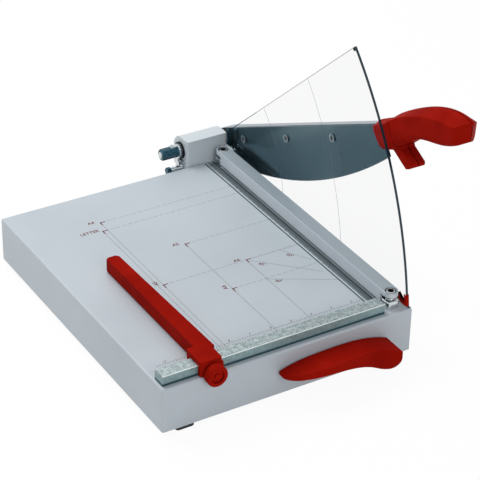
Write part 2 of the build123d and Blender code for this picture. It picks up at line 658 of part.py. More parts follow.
# ---------------------------------------------------------------- clamp bar, posts, springs
POST_HEAD_RADIUS = 5.0
POST_HEAD = 2.8
POST_SINK = 3.2            # depth of the recess round the head
POST_SINK_RADIUS = 6.2
CLAMP_BODY_SETBACK = 7.8   # from the post's axis to the full section
CUP_SIDE = 15.0            # square cups that hold the springs
CUP_HEIGHT = 9.2
CUP_FLOOR = 1.2
CUP_BORE_RADIUS = 6.2
YOKE_BOSS_HEIGHT = 8.0
YOKE_BOSS_RADIUS = 6.5
NUT_HEIGHT = 5.0
post_shoulder_z = -30.0
post_end_z = post_shoulder_z - YOKE_BOSS_HEIGHT - NUT_HEIGHT - 2.0
tab_bottom = clamp_top - CLAMP_TAB


def make_clamp_bar():
    """Extruded hollow bar; its ends are milled down to a tab round each post."""
    section = Rectangle(CLAMP_WIDTH, CLAMP_HEIGHT)
    hollow = RectangleRounded(CLAMP_WIDTH - 2 * CLAMP_WALL, CLAMP_HEIGHT - CLAMP_WALL - CLAMP_TAB, 1.0)
    nose = CLAMP_WIDTH / 2
    y0 = post_front_y - nose
    y1 = post_rear_y + nose
    centre_z = CLAMP_GAP + CLAMP_HEIGHT / 2
    bar = slab_y(Pos(post_x, centre_z) * section, y0, y1)
    long_edges = bar.edges().filter_by(Axis.Y).group_by(Axis.Z)[-1]
    bar = fillet(long_edges, CLAMP_EDGE)
    hollow_z = CLAMP_GAP + CLAMP_WALL + (CLAMP_HEIGHT - CLAMP_WALL - CLAMP_TAB) / 2
    bar -= slab_y(Pos(post_x, hollow_z) * hollow, y0, y1)
    bar -= block(clamp_left, clamp_right, y0, post_front_y + CLAMP_BODY_SETBACK, CLAMP_GAP, tab_bottom)
    bar -= block(clamp_left, clamp_right, post_rear_y - CLAMP_BODY_SETBACK, y1, CLAMP_GAP, tab_bottom)
    plan = Pos(post_x, (y0 + y1) / 2) * RectangleRounded(CLAMP_WIDTH, y1 - y0, nose - 0.1)
    bar &= slab_z(plan, CLAMP_GAP, clamp_top)
    for y in post_places:
        bar -= rod_z(tab_bottom, clamp_top, post_x, y, POST_NECK_RADIUS)
        bar -= rod_z(clamp_top - POST_SINK, clamp_top, post_x, y, POST_SINK_RADIUS)
        bar -= Pos(post_x, y, clamp_top - 0.25) * Cone(POST_SINK_RADIUS, POST_SINK_RADIUS + 0.5, 0.5)
    return bar


def make_clamp_posts():
    """Shouldered bolts: head on the tab, guided in the table's bushes, neck through the yoke."""
    posts = []
    for y in post_places:
        seat = clamp_top - POST_SINK
        head = Pos(post_x, y, seat) * cap_screw(POST_HEAD_RADIUS, POST_HEAD, POST_NECK_RADIUS, CLAMP_TAB - POST_SINK)
        stem = rod_z(post_shoulder_z, tab_bottom, post_x, y, POST_RADIUS)
        neck = rod_z(post_end_z, post_shoulder_z, post_x, y, POST_NECK_RADIUS)
        posts.append(head + stem + neck)
    return posts


spring_bottom = CUP_FLOOR + BUSH_FLANGE


def make_post_bushes():
    """Flanged bushes pressed into the table through the cups' floors."""
    bushes = []
    for y in post_places:
        bush = rod_z(-BUSH_LENGTH, CUP_FLOOR, post_x, y, BUSH_RADIUS)
        bush += rod_z(CUP_FLOOR, spring_bottom, post_x, y, BUSH_FLANGE_RADIUS)
        bushes.append(bush - rod_z(-BUSH_LENGTH, spring_bottom, post_x, y, POST_RADIUS + RUNNING))
    return bushes


def make_spring_cups():
    """Square cups on the table that hold the springs; the bushes' flanges keep them down."""
    cups = []
    body = extrude(RectangleRounded(CUP_SIDE, CUP_SIDE, 3.0), CUP_HEIGHT)
    body = chamfer(body.edges().group_by(Axis.Z)[-1], 0.6)
    for y in post_places:
        cup = Pos(post_x, y, 0) * body - rod_z(CUP_FLOOR, CUP_HEIGHT, post_x, y, CUP_BORE_RADIUS)
        cups.append(cup - rod_z(0, CUP_FLOOR, post_x, y, BUSH_RADIUS))
    return cups


spring_height = tab_bottom - spring_bottom
SPRING_RADIUS = 5.1


def make_return_springs():
    """Open coils between the bush's flange and the clamp's tab."""
    springs = []
    coil_height = spring_height - SPRING_WIRE
    path = Helix(coil_height / SPRING_TURNS, coil_height, SPRING_RADIUS)
    wire = Plane(origin=path @ 0, z_dir=path % 0) * Circle(SPRING_WIRE / 2)
    coil = sweep(wire, path=path, is_frenet=True)
    for y in post_places:
        springs.append(Pos(post_x, y, spring_bottom + SPRING_WIRE / 2) * coil)
    return springs


# ---------------------------------------------------------------- yokes, shaft and cranks
pin_rest = (SHAFT_X - CRANK_RADIUS * cos(half_swing), SHAFT_Z + CRANK_RADIUS * sin(half_swing))
yoke_bottom = SHAFT_Z - 11.0
yoke_left = SHAFT_X - CRANK_RADIUS - 9.0
SHAFT_WINDOW = 0.7
SLOT_CLEARANCE = 0.1


def make_post_yokes():
    """Plates on the posts' feet; the crank pin works in the slot and the shaft passes the window."""
    yokes = []
    window_radius = SHAFT_RADIUS + SHAFT_WINDOW
    slot_radius = CRANK_PIN_RADIUS + SLOT_CLEARANCE
    slip = CRANK_RADIUS * (1 - cos(half_swing))
    boss_low = post_shoulder_z - YOKE_BOSS_HEIGHT
    plate = Polygon(
        (yoke_left, yoke_bottom),
        (post_x - YOKE_BOSS_RADIUS - 1.5, yoke_bottom),
        (post_x - YOKE_BOSS_RADIUS - 1.5, boss_low),
        (post_x - 2.0, boss_low),
        (post_x - 2.0, post_shoulder_z),
        (post_x - POST_RADIUS - 1.0, post_shoulder_z),
        (SHAFT_X + 14.0, yoke_bottom + YOKE_HEIGHT),
        (SHAFT_X - 12.0, yoke_bottom + YOKE_HEIGHT),
        (yoke_left, SHAFT_Z + 11.0),
        align=None,
    )
    window = Pos(SHAFT_X, SHAFT_Z + CLAMP_TRAVEL / 2) * Rot(0, 0, 90) * SlotCenterToCenter(CLAMP_TRAVEL, 2 * window_radius)
    slot = Pos(pin_rest[0] - slip / 2, pin_rest[1]) * SlotCenterToCenter(slip + SLOT_CLEARANCE, 2 * slot_radius)
    for y in post_places:
        y0 = y - YOKE_THICKNESS / 2
        yoke = slab_y(plate - window - slot, y0, y0 + YOKE_THICKNESS)
        yoke += rod_z(post_shoulder_z - YOKE_BOSS_HEIGHT, post_shoulder_z, post_x, y, YOKE_BOSS_RADIUS)
        yoke -= rod_z(post_shoulder_z - YOKE_BOSS_HEIGHT, post_shoulder_z, post_x, y, POST_NECK_RADIUS)
        yokes.append(yoke)
    return yokes


def make_post_nuts():
    nuts = []
    top = post_shoulder_z - YOKE_BOSS_HEIGHT
    for y in post_places:
        nut = Pos(post_x, y, top - NUT_HEIGHT) * extrude(RegularPolygon(5.0, 6, major_radius=False), NUT_HEIGHT)
        nuts.append(nut - rod_z(top - NUT_HEIGHT, top, post_x, y, POST_NECK_RADIUS))
    return nuts


CRANK_GAP = 0.5
CRANK_HUB_RADIUS = 11.0
CRANK_EYE_RADIUS = 7.0
SHAFT_REAR = post_rear_y + YOKE_THICKNESS / 2 + 1.5
LEVER_BACK = FRONT_MARGIN + 2.0
SHAFT_IN_LEVER = 20.0
shaft_front = -(LEVER_BACK + SHAFT_IN_LEVER)
crank_starts = (
    post_front_y + YOKE_THICKNESS / 2 + CRANK_GAP,
    post_rear_y - YOKE_THICKNESS / 2 - CRANK_GAP - CRANK_THICKNESS,
)


def make_torque_shaft():
    shaft = rod_y(shaft_front, SHAFT_REAR, SHAFT_X, SHAFT_Z, SHAFT_RADIUS)
    shaft = chamfer(shaft.edges().sort_by(Axis.Y)[-1], 0.8)
    for y in crank_starts:
        middle = y + CRANK_THICKNESS / 2
        shaft -= rod_x(SHAFT_X - SHAFT_RADIUS, SHAFT_X + SHAFT_RADIUS, middle, SHAFT_Z, KEY_RADIUS)
    return shaft - rod_z(SHAFT_Z - SHAFT_RADIUS, SHAFT_Z + SHAFT_RADIUS, SHAFT_X, lever_pin_y, LEVER_PIN_RADIUS)


KEY_RADIUS = 1.5
LEVER_PIN_RADIUS = 2.0
lever_pin_y = shaft_front + 8.0


def make_cranks():
    """Arms pinned to the shaft, with an eye for the crank pin."""
    hub = Pos(SHAFT_X, SHAFT_Z) * Circle(CRANK_HUB_RADIUS)
    eye = Pos(pin_rest) * Circle(CRANK_EYE_RADIUS)
    arm = make_hull((hub + eye).edges())
    cranks = []
    for y in crank_starts:
        crank = slab_y(arm, y, y + CRANK_THICKNESS)
        crank -= rod_y(y, y + CRANK_THICKNESS, SHAFT_X, SHAFT_Z, SHAFT_RADIUS)
        crank -= rod_y(y, y + CRANK_THICKNESS, pin_rest[0], pin_rest[1], CRANK_PIN_RADIUS)
        middle = y + CRANK_THICKNESS / 2
        crank -= rod_x(SHAFT_X, SHAFT_X + CRANK_HUB_RADIUS, middle, SHAFT_Z, KEY_RADIUS)
        cranks.append(crank)
    return cranks


def make_crank_pins():
    pins = []
    reach = YOKE_THICKNESS + CRANK_GAP + 0.5
    front, rear = crank_starts
    pins.append(rod_y(front - reach, front + CRANK_THICKNESS, pin_rest[0], pin_rest[1], CRANK_PIN_RADIUS))
    pins.append(rod_y(rear, rear + CRANK_THICKNESS + reach, pin_rest[0], pin_rest[1], CRANK_PIN_RADIUS))
    return pins


def make_crank_keys():
    """Spring pins that fix the cranks to the shaft."""
    x0 = SHAFT_X - SHAFT_RADIUS + 0.5
    x1 = SHAFT_X + CRANK_HUB_RADIUS - 0.5
    return [rod_x(x0, x1, y + CRANK_THICKNESS / 2, SHAFT_Z, KEY_RADIUS) for y in crank_starts]


HANGER_THICKNESS = 3.0
HANGER_PLACES = (24.0, 322.0)
HANGER_FLANGE = 14.0
SHAFT_BUSH_WALL = 2.5


def make_shaft_hangers():
    """Folded brackets under the table that carry the shaft's bushes."""
    hangers = []
    top = -2 * SHEET
    outer = SHAFT_RADIUS + RUNNING + SHAFT_BUSH_WALL
    cheek = Polygon(
        (SHAFT_X - 15.0, top),
        (SHAFT_X - outer - 3.0, SHAFT_Z - outer - 3.0),
        (SHAFT_X + outer + 3.0, SHAFT_Z - outer - 3.0),
        (SHAFT_X + 15.0, top),
        align=None,
    )
    for y in HANGER_PLACES:
        hanger = slab_y(cheek, y, y + HANGER_THICKNESS)
        hanger += block(SHAFT_X - 15.0, SHAFT_X + 15.0, y, y + HANGER_FLANGE, top - HANGER_THICKNESS, top)
        hangers.append(hanger - rod_y(y, y + HANGER_THICKNESS, SHAFT_X, SHAFT_Z, outer))
    return hangers


def make_shaft_bushes():
    """Flanged bronze bushes in the hangers."""
    bushes = []
    outer = SHAFT_RADIUS + RUNNING + SHAFT_BUSH_WALL
    for y in HANGER_PLACES:
        bush = rod_y(y - 1.5, y + HANGER_THICKNESS + 4.0, SHAFT_X, SHAFT_Z, outer)
        bush += rod_y(y - 1.5, y, SHAFT_X, SHAFT_Z, outer + 2.0)
        bore = rod_y(y - 1.5, y + HANGER_THICKNESS + 4.0, SHAFT_X, SHAFT_Z, SHAFT_RADIUS + RUNNING)
        bushes.append(bush - bore)
    return bushes


# ---------------------------------------------------------------- clamp lever
LEVER_HUB_RADIUS = 12.5
# side view: places in (X, Z) from the shaft's axis
LEVER_SHOULDER = (LEVER_HUB_RADIUS, 7.5)
LEVER_WING_LOW = ((-21.0, -4.2), (-43.5, 4.1), (-78.0, 8.8))
LEVER_WING_TOP = ((-97.0, 16.2), (-66.0, 18.2), (-25.0, 17.2))
LEVER_TIP_RISE = (5.4, 10.8)
LEVER_TIP_ROUND = 1.4
# plan: how far the front edge stands back from the hub's front, at the hub, before the tip and at its corner
LEVER_STAND_BACK = ((40.0, 3.0), (22.0, 5.0), (5.0, 16.0))
lever_left = -LEVER_TIP
lever_right = SHAFT_X + LEVER_HUB_RADIUS


def from_shaft(point):
    """A place in (X, Z) given from the shaft's axis."""
    return (SHAFT_X + point[0], SHAFT_Z + point[1])


def lever_side_view():
    """Wing-shaped lever in (X, Z): a thin pad to the left that grows into the hub."""
    tip_low, tip_top = [(lever_left + LEVER_TIP_ROUND, SHAFT_Z + rise) for rise in LEVER_TIP_RISE]
    tip = (lever_left, SHAFT_Z + sum(LEVER_TIP_RISE) / 2)
    shoulder = from_shaft(LEVER_SHOULDER)
    hub_side = (lever_right, SHAFT_Z)
    hub_low = (SHAFT_X, SHAFT_Z - LEVER_HUB_RADIUS)
    return outline(
        Spline(tip_top, *[from_shaft(point) for point in LEVER_WING_TOP], shoulder),
        Line(shoulder, hub_side),
        RadiusArc(hub_side, hub_low, LEVER_HUB_RADIUS),
        Spline(
            hub_low,
            *[from_shaft(point) for point in LEVER_WING_LOW],
            tip_low,
            tangents=((-1, 0.1), (-1, -0.15)),
        ),
        ThreePointArc(tip_low, tip, tip_top),
    )


def lever_plan():
    """Plan view in (X, Y): straight back, front edge that rounds off into the left tip."""
    back = -LEVER_BACK
    front = -LEVER_FRONT
    hub, pad, corner = LEVER_STAND_BACK
    return outline(
        Line((lever_left, back), (lever_right, back)),
        Line((lever_right, back), (lever_right, front)),
        Spline(
            (lever_right, front),
            (SHAFT_X - hub[0], front + hub[1]),
            (lever_left + pad[0], front + pad[1]),
            (lever_left + corner[0], front + corner[1]),
            (lever_left, back),
        ),
    )


def make_clamp_lever():
    wing = slab_y(lever_side_view(), -LEVER_FRONT, -LEVER_BACK)
    wing &= slab_z(lever_plan(), SHAFT_Z - 3 * LEVER_HUB_RADIUS, 0)
    wing -= rod_y(shaft_front, -LEVER_BACK, SHAFT_X, SHAFT_Z, SHAFT_RADIUS)
    return wing - rod_z(SHAFT_Z - LEVER_HUB_RADIUS - 1, SHAFT_Z, SHAFT_X, lever_pin_y, LEVER_PIN_RADIUS)


def make_lever_pin():
    low = SHAFT_Z - LEVER_HUB_RADIUS + 0.5
    return rod_z(low, SHAFT_Z + SHAFT_RADIUS - 0.6, SHAFT_X, lever_pin_y, LEVER_PIN_RADIUS)


def make_lever_spacer():
    outer = SHAFT_RADIUS + 4.0
    ring = rod_y(-LEVER_BACK, table_front - SHEAR, SHAFT_X, SHAFT_Z, outer)
    return ring - rod_y(-LEVER_BACK, table_front - SHEAR, SHAFT_X, SHAFT_Z, SHAFT_RADIUS)


# ---------------------------------------------------------------- back gauge and knob
gauge_left = table_left + GAUGE_INSET
gauge_right = gauge_left + GAUGE_BASE_WIDTH
head_left = gauge_left - 8.5
head_right = head_left + GAUGE_HEAD_WIDTH
head_front = -STOP_BAR_DEPTH - SLIDE - GAUGE_HEAD_FRONT
head_back = SLIDE + GAUGE_HEAD_BACK
knob_x = (head_left + head_right) / 2 + 1.5
knob_z = STOP_BAR_HEIGHT / 2 - 3.0
knob_back = min(head_front, table_front) - 1.0
knob_front = knob_back - KNOB_THICKNESS
SHOE_RADIUS = 2.5
SHOE_DEPTH = 3.0


def make_back_gauge():
    """Moulded square: a tapered hollow arm with a bevelled tip and a head that straddles the stop bar."""
    tip_right = gauge_left + GAUGE_TIP_WIDTH
    plan = Polygon((gauge_left, 0), (gauge_right, 0), (tip_right, GAUGE_REACH), (gauge_left, GAUGE_REACH), align=None)
    tip_corners = plan.vertices().sort_by(Axis.Y)[-2:]
    arm = slab_z(chamfer(tip_corners, 2.5), LIFT, GAUGE_HEIGHT)
    arm = chamfer(arm.edges().group_by(Axis.Z)[-1].sort_by(Axis.Y)[-3:], 1.5)
    low_left = arm.edges().filter_by(Axis.Y).group_by(Axis.Z)[0].sort_by(Axis.X)[0]
    arm = chamfer(low_left, 1.8)
    cavity = offset(plan, -GAUGE_WALL, kind=Kind.INTERSECTION)
    cavity &= Pos((head_left + head_right) / 2, (head_back + GAUGE_REACH) / 2) * Rectangle(60.0, GAUGE_REACH - head_back - 10.0)
    arm -= slab_z(cavity, LIFT, GAUGE_HEIGHT - 1.5 * GAUGE_WALL)
    for i in range(1, 4):
        rib_y = head_back + i * (GAUGE_REACH - head_back) / 4
        rib = block(gauge_left + 1.0, tip_right, rib_y - 1.0, rib_y + 1.0, LIFT + 4.0, GAUGE_HEIGHT - GAUGE_WALL)
        arm += rib
    head = block(head_left, head_right, head_front, head_back, LIFT, GAUGE_HEIGHT)
    head = fillet(head.edges().filter_by(Axis.Z), 1.5)
    skirt = block(head_right - 3.0, head_right + 2.5, head_front + 1.0, -STOP_BAR_DEPTH / 2 + 4.0, LIFT, GAUGE_HEIGHT - 7.0)
    gauge = arm + head + skirt
    gauge -= block(head_right, head_right + 5.0, -STOP_BAR_DEPTH - SLIDE, SLIDE, 0, STOP_BAR_HEIGHT + SLIDE)
    gauge -= block(head_left, head_right, -STOP_BAR_DEPTH - SLIDE, SLIDE, 0, STOP_BAR_HEIGHT + SLIDE)
    gauge -= rod_y(head_front, 0, knob_x, knob_z, KNOB_STUD_RADIUS + SLIDE)
    return gauge - rod_y(shoe_front, -STOP_BAR_DEPTH, knob_x, knob_z, SHOE_RADIUS + RUNNING)


shoe_front = -STOP_BAR_DEPTH - SLIDE - SHOE_DEPTH


def make_gauge_shoe():
    """Brass pad that the stud presses against the stop bar."""
    return rod_y(shoe_front, -STOP_BAR_DEPTH - RUNNING, knob_x, knob_z, SHOE_RADIUS)


def make_gauge_knob():
    """Round knob with a gripping rim and a dished face."""
    knob = rod_y(knob_front, knob_back, knob_x, knob_z, KNOB_RADIUS)
    knob = fillet(knob.edges().filter_by(GeomType.CIRCLE), 1.5)
    dish = rod_y(knob_front, knob_front + 2.0, knob_x, knob_z, KNOB_RADIUS * 0.62)
    knob -= dish
    hub = rod_y(knob_front + 1.0, knob_front + 2.5, knob_x, knob_z, KNOB_RADIUS * 0.25)
    knob += hub
    for i in range(KNOB_FLUTES):
        angle = 2 * 3.141592653589793 * i / KNOB_FLUTES
        flute_x = knob_x + (KNOB_RADIUS + 0.7) * cos(angle)
        flute_z = knob_z + (KNOB_RADIUS + 0.7) * sin(angle)
        knob -= rod_y(knob_front, knob_back, flute_x, flute_z, 1.3)
    return knob - rod_y(knob_back - 6.0, knob_back, knob_x, knob_z, KNOB_STUD_RADIUS)


KNOB_FLUTES = 18


def make_knob_stud():
    return rod_y(knob_back - 6.0, shoe_front - RUNNING, knob_x, knob_z, KNOB_STUD_RADIUS)


# ---------------------------------------------------------------- blade arm
# The arm is drawn level: local X runs from the pivot to the handle, local Y is up, and it is then raised.
rise = radians(ARM_ELEVATION)
blade_end = TABLE_DEPTH - BLADE_SHORT
handle_start = blade_end - HANDLE_LAP
arm_plane = Plane(origin=(0, pivot_y, PIVOT_Z), x_dir=(0, -cos(rise), sin(rise)), z_dir=(-1, 0, 0))
arm_half = ARM_HEIGHT / 2
handle_middle = (arm_left + arm_right) / 2
handle_left_face = handle_middle - HANDLE_WIDTH / 2
handle_right_face = handle_middle + HANDLE_WIDTH / 2
BLADE_TOP = 12.0
BLADE_SCREW_RADIUS = 2.5
BLADE_SCREW_V = -1.0
BLADE_SCREW_START = 52.0
BLADE_SCREW_PITCH = 103.5
BLADE_SCREW_HEAD_RADIUS = 4.0
BLADE_SCREW_HEAD = 1.6
BLADE_SCREW_DEPTH = 9.0
blade_screw_places = [BLADE_SCREW_START + i * BLADE_SCREW_PITCH for i in range(3)]
DOWEL_PLACE = (34.0, -5.0)
DOWEL_RADIUS = 1.5
tang_start = handle_start + 6.5
tang_end = handle_start + 87.0
TANG_LOW = 0.0
TANG_TOP = 12.0
HANDLE_SCREW_RADIUS = 2.5
HANDLE_SCREW_V = 6.0
handle_screw_places = [(handle_start + offset, HANDLE_SCREW_V) for offset in (26.0, 50.0, 74.0)]


def raised(shape):
    """Place a piece drawn in the arm's level frame."""
    return arm_plane.location * shape


def arm_slab(face, x0, x1):
    """A face drawn in the arm's side view, given thickness between two X planes."""
    return raised(slab_z(face, -x1, -x0))


def arm_rod(u, v, x0, x1, radius):
    return arm_slab(Pos(u, v) * Circle(radius), x0, x1)


def blade_edge(u):
    """Height of the blade's curved cutting edge."""
    return BLADE_EDGE_CENTRE[1] - sqrt(BLADE_EDGE_RADIUS**2 - (u - BLADE_EDGE_CENTRE[0]) ** 2)


def blade_face():
    """Crescent: straight top, long curved cutting edge, rounded heel behind the pivot."""
    heel = (14.0, blade_edge(14.0))
    nose = (blade_end, blade_edge(blade_end))
    nose_top = (blade_end - 2.0, -10.0)
    back_top = (0.0, arm_half)
    back_low = (-arm_half, 0.0)
    return outline(
        Line(back_top, (blade_end - 2.0, BLADE_TOP)),
        Line((blade_end - 2.0, BLADE_TOP), nose_top),
        Line(nose_top, nose),
        ThreePointArc(nose, (BLADE_EDGE_CENTRE[0], BLADE_EDGE_CENTRE[1] - BLADE_EDGE_RADIUS), heel),
        ThreePointArc(heel, (-4.0, -18.0), back_low),
        RadiusArc(back_low, back_top, -arm_half),
    )


def make_upper_blade():
    blade = arm_slab(blade_face(), blade_left, arm_left)
    blade -= arm_rod(0, 0, blade_left, arm_left, arm_bush_radius)
    blade -= arm_rod(*DOWEL_PLACE, blade_left, arm_left, DOWEL_RADIUS)
    for u in blade_screw_places:
        blade -= arm_rod(u, BLADE_SCREW_V, blade_left, arm_left, BLADE_SCREW_RADIUS)
    return blade


arm_bush_radius = PIVOT_BOLT_RADIUS + RUNNING + BUSH_WALL


def arm_bar_face():
    """Parallel bar with a round hub, stepped down to the tang inside the handle."""
    return outline(
        Line((0, arm_half), (tang_start, arm_half)),
        Line((tang_start, arm_half), (tang_start + 4.0, TANG_TOP)),
        Line((tang_start + 4.0, TANG_TOP), (tang_end, TANG_TOP)),
        Line((tang_end, TANG_TOP), (tang_end, TANG_LOW)),
        Line((tang_end, TANG_LOW), (tang_start + 14.0, TANG_LOW)),
        Line((tang_start + 14.0, TANG_LOW), (tang_start + 4.0, -arm_half)),
        Line((tang_start + 4.0, -arm_half), (0, -arm_half)),
        ThreePointArc((0, -arm_half), (-arm_half, 0), (0, arm_half)),
    )


def make_arm_bar():
    bar = arm_slab(arm_bar_face(), arm_left, arm_right)
    bar -= arm_rod(0, 0, arm_left, arm_right, arm_bush_radius)
    bar -= arm_rod(*DOWEL_PLACE, arm_left, arm_left + 6.0, DOWEL_RADIUS)
    for u in blade_screw_places:
        bar -= arm_rod(u, BLADE_SCREW_V, arm_left, arm_left + BLADE_SCREW_DEPTH, BLADE_SCREW_RADIUS)
    for u, v in handle_screw_places:
        bar -= arm_rod(u, v, arm_left, arm_right, HANDLE_SCREW_RADIUS)
    return bar


def make_arm_bush():
    """Flanged bronze bush, pressed through blade and arm."""
    bush = arm_rod(0, 0, blade_left, arm_right, arm_bush_radius)
    bush += arm_rod(0, 0, arm_right, arm_right + ARM_BUSH_FLANGE, arm_half - 2.0)
    return bush - arm_rod(0, 0, blade_left, arm_right + ARM_BUSH_FLANGE, PIVOT_BOLT_RADIUS + RUNNING)


def make_blade_dowel():
    return arm_rod(*DOWEL_PLACE, blade_left, arm_left + 6.0, DOWEL_RADIUS)


def make_blade_screws():
    """Low-headed screws through the blade into the arm."""
    length = BLADE_THICKNESS + BLADE_SCREW_DEPTH
    screw = cap_screw(BLADE_SCREW_HEAD_RADIUS, BLADE_SCREW_HEAD, BLADE_SCREW_RADIUS, length)
    return [raised(Pos(u, BLADE_SCREW_V, -blade_left) * screw) for u in blade_screw_places]


# grip stations: distance from the collar's front, underside, ridge of the sides, middle of the top
GRIP_STATIONS = (
    (24.0, -15.5, 13.5, 17.5),
    (37.0, -12.5, 17.6, 21.5),
    (61.0, -6.0, 20.4, 25.6),
    (89.0, -5.5, 20.6, 28.3),
    (115.0, -10.5, 17.6, 28.8),
    (134.0, -11.9, 12.6, 26.7),
    (149.0, -10.5, 7.6, 21.2),
    (163.0, -7.0, 3.2, 10.5),
)
GRIP_LOW_RADIUS = 6.5
GRIP_RIDGE_RADIUS = 1.6
GRIP_TOP_RADIUS = 8.0
# collar stations in the same order
COLLAR_STATIONS = ((-3.0, -15.5, 11.4, 16.6), (27.0, -15.3, 14.2, 18.2))
COLLAR_STEP = 0.8
COLLAR_EDGE = ((0.2, 22.0), (1.5, 0.0), (11.0, -17.0))   # curved front edge, from the collar's front
PROW_TIP = 160.0           # from the collar's front to the grip's blunt prow
PROW_SLOPE = 0.945         # how far its facets run back for each mm to the side
PROW_LEAN = 0.58
GROOVE = 0.8
GROOVE_DEPTH = 0.7
RIB_LINE = ((35.5, 26.0), (32.5, 5.0), (43.5, -17.0))    # groove between the collar's rib and the grip
# hooked finger guard: side view from the collar's front, and its sides in X
HOOK = ((21.0, -8.0), (42.5, -35.8), (50.0, -35.8), (52.4, -32.2), (39.2, -15.2), (39.2, -3.0), (24.0, 0.0))
HOOK_LEFT = 0.5
HOOK_RIGHT = 19.6


def house_section(u, low, ridge, top, half_width, shrink):
    """Cross-section with upright sides, rounded lower corners and a top that rises to the middle."""
    half = half_width - shrink
    low += shrink
    ridge -= shrink / 2
    top -= shrink
    flat = Polygon((low, -half), (low, half), (ridge, half), (top, 0), (ridge, -half), align=None)
    corners = flat.vertices().sort_by(Axis.X)
    flat = fillet(corners[:2], GRIP_LOW_RADIUS)
    sides = flat.vertices().sort_by(Axis.X)[-3:-1]
    flat = fillet(sides, GRIP_RIDGE_RADIUS)
    flat = fillet(flat.vertices().sort_by(Axis.X)[-1], GRIP_TOP_RADIUS)
    plane = Plane(origin=(handle_start + u, 0, -handle_middle), x_dir=(0, 1, 0), z_dir=(1, 0, 0))
    return plane * flat


def handle_collar(shrink):
    """Lower collar over the arm's end, with a curved front edge."""
    half_width = HANDLE_WIDTH / 2 - COLLAR_STEP
    collar = loft([house_section(*station, half_width, shrink) for station in COLLAR_STATIONS])
    top, middle, low = [(handle_start + u + shrink, v) for u, v in COLLAR_EDGE]
    back = handle_start + COLLAR_STATIONS[-1][0] + 1.0
    side = outline(
        ThreePointArc(top, middle, low),
        Line(low, (back, low[1])),
        Line((back, low[1]), (back, top[1])),
        Line((back, top[1]), top),
    )
    return collar & slab_z(side, -handle_right_face, -handle_left_face)


def prow():
    """The room that the grip's end is cut to: two facets that meet in the middle plane."""
    tip = handle_start + PROW_TIP
    reach = 30.0
    plan = Polygon(
        (tip, -handle_middle),
        (tip - PROW_SLOPE * reach, -handle_middle + reach),
        (handle_start - 20.0, -handle_middle + reach),
        (handle_start - 20.0, -handle_middle - reach),
        (tip - PROW_SLOPE * reach, -handle_middle - reach),
        align=None,
    )
    lean = Vector(PROW_LEAN, 1, 0)
    face = Plane.XZ.offset(40.0) * Pos(-40.0 * PROW_LEAN, 0) * plan
    return extrude(face, 80.0 * lean.length, dir=lean)


def finger_guard(shrink):
    """The hooked lug that keeps the fingers off the blade; it passes right of the table's edge."""
    hook = Polygon(*[(handle_start + u, v) for u, v in HOOK], align=None)
    hook = fillet(hook.vertices().sort_by(Axis.Y)[:3], 1.8)
    if shrink:
        hook = offset(hook, -shrink)
    return slab_z(hook, shrink - HOOK_RIGHT, -HOOK_LEFT - shrink)


def whole_handle(shrink=0.0):
    """Arched grip with a collar over the arm and a finger guard below, or its core inside the grooves."""
    grip = loft([house_section(*station, HANDLE_WIDTH / 2, shrink) for station in GRIP_STATIONS])
    grip &= Pos(-shrink, 0, 0) * prow()
    return grip + handle_collar(shrink) + finger_guard(shrink)


def handle_grooves():
    """Shallow grooves along the parting line and behind the collar's rib."""
    size = 400.0
    seam = Pos(handle_start + 80.0, 0, -handle_middle) * Box(size, size, GROOVE)
    top, middle, low = [(handle_start + u, v) for u, v in RIB_LINE]
    behind = [(u + GROOVE, v) for u, v in (top, middle, low)]
    rib = outline(
        ThreePointArc(top, middle, low),
        Line(low, behind[2]),
        ThreePointArc(behind[2], behind[1], behind[0]),
        Line(behind[0], top),
    )
    above_hook = slab_z(rib, -handle_right_face - 1.0, -handle_left_face + 1.0)
    return (seam + above_hook) - whole_handle(GROOVE_DEPTH)


def tang_pocket():
    """Room for the arm's tang and the blade's front end."""
    room = slab_z(arm_bar_face(), -arm_right, -arm_left)
    blade_room = Polygon(
        (handle_start - 8.0, -40.0),
        (handle_start - 8.0, BLADE_TOP + 1.0),
        (blade_end + 1.0, BLADE_TOP + 1.0),
        (blade_end + 1.0, -40.0),
        align=None,
    )
    return room + slab_z(blade_room, -arm_left, -blade_left)


def handle_screw_room(length):
    """Bores of the handle screws, as long as given from the counterbore."""
    room = []
    for u, v in handle_screw_places:
        head = Pos(u, v, -handle_right_face) * Cylinder(4.6, 2 * HANDLE_SCREW_SINK)
        room.append(head)
        shank = Cylinder(HANDLE_SCREW_RADIUS, length, align=(Align.CENTER, Align.CENTER, Align.MIN))
        room.append(Pos(u, v, -handle_right_face) * shank)
    return room


HANDLE_SCREW_SINK = 4.0
HANDLE_SCREW_LENGTH = 16.0


def handle_half(left):
    """One moulded half: left or right of the arm's middle plane."""
    half = whole_handle() - tang_pocket() - handle_grooves()
    size = 400.0
    middle = -handle_middle + (size / 2 if left else -size / 2)
    half &= Pos(430.0, 0, middle) * Box(size, size, size)
    for room in handle_screw_room(HANDLE_SCREW_SINK + HANDLE_SCREW_LENGTH):
        half -= room
    return raised(half)


def make_handle_screws():
    screw = Rot(180, 0, 0) * cap_screw(4.5, 3.0, HANDLE_SCREW_RADIUS, HANDLE_SCREW_LENGTH)
    return [raised(Pos(u, v, -handle_right_face + HANDLE_SCREW_SINK) * screw) for u, v in handle_screw_places]


# ---------------------------------------------------------------- write the pieces
def write(name, shape):
    """Write one node; a list is a group of identical separate solids."""
    if isinstance(shape, (list, tuple)):
        shape = Compound(children=[solid for item in shape for solid in item.solids()])
    export_step(shape, f"parts/{name}.step")


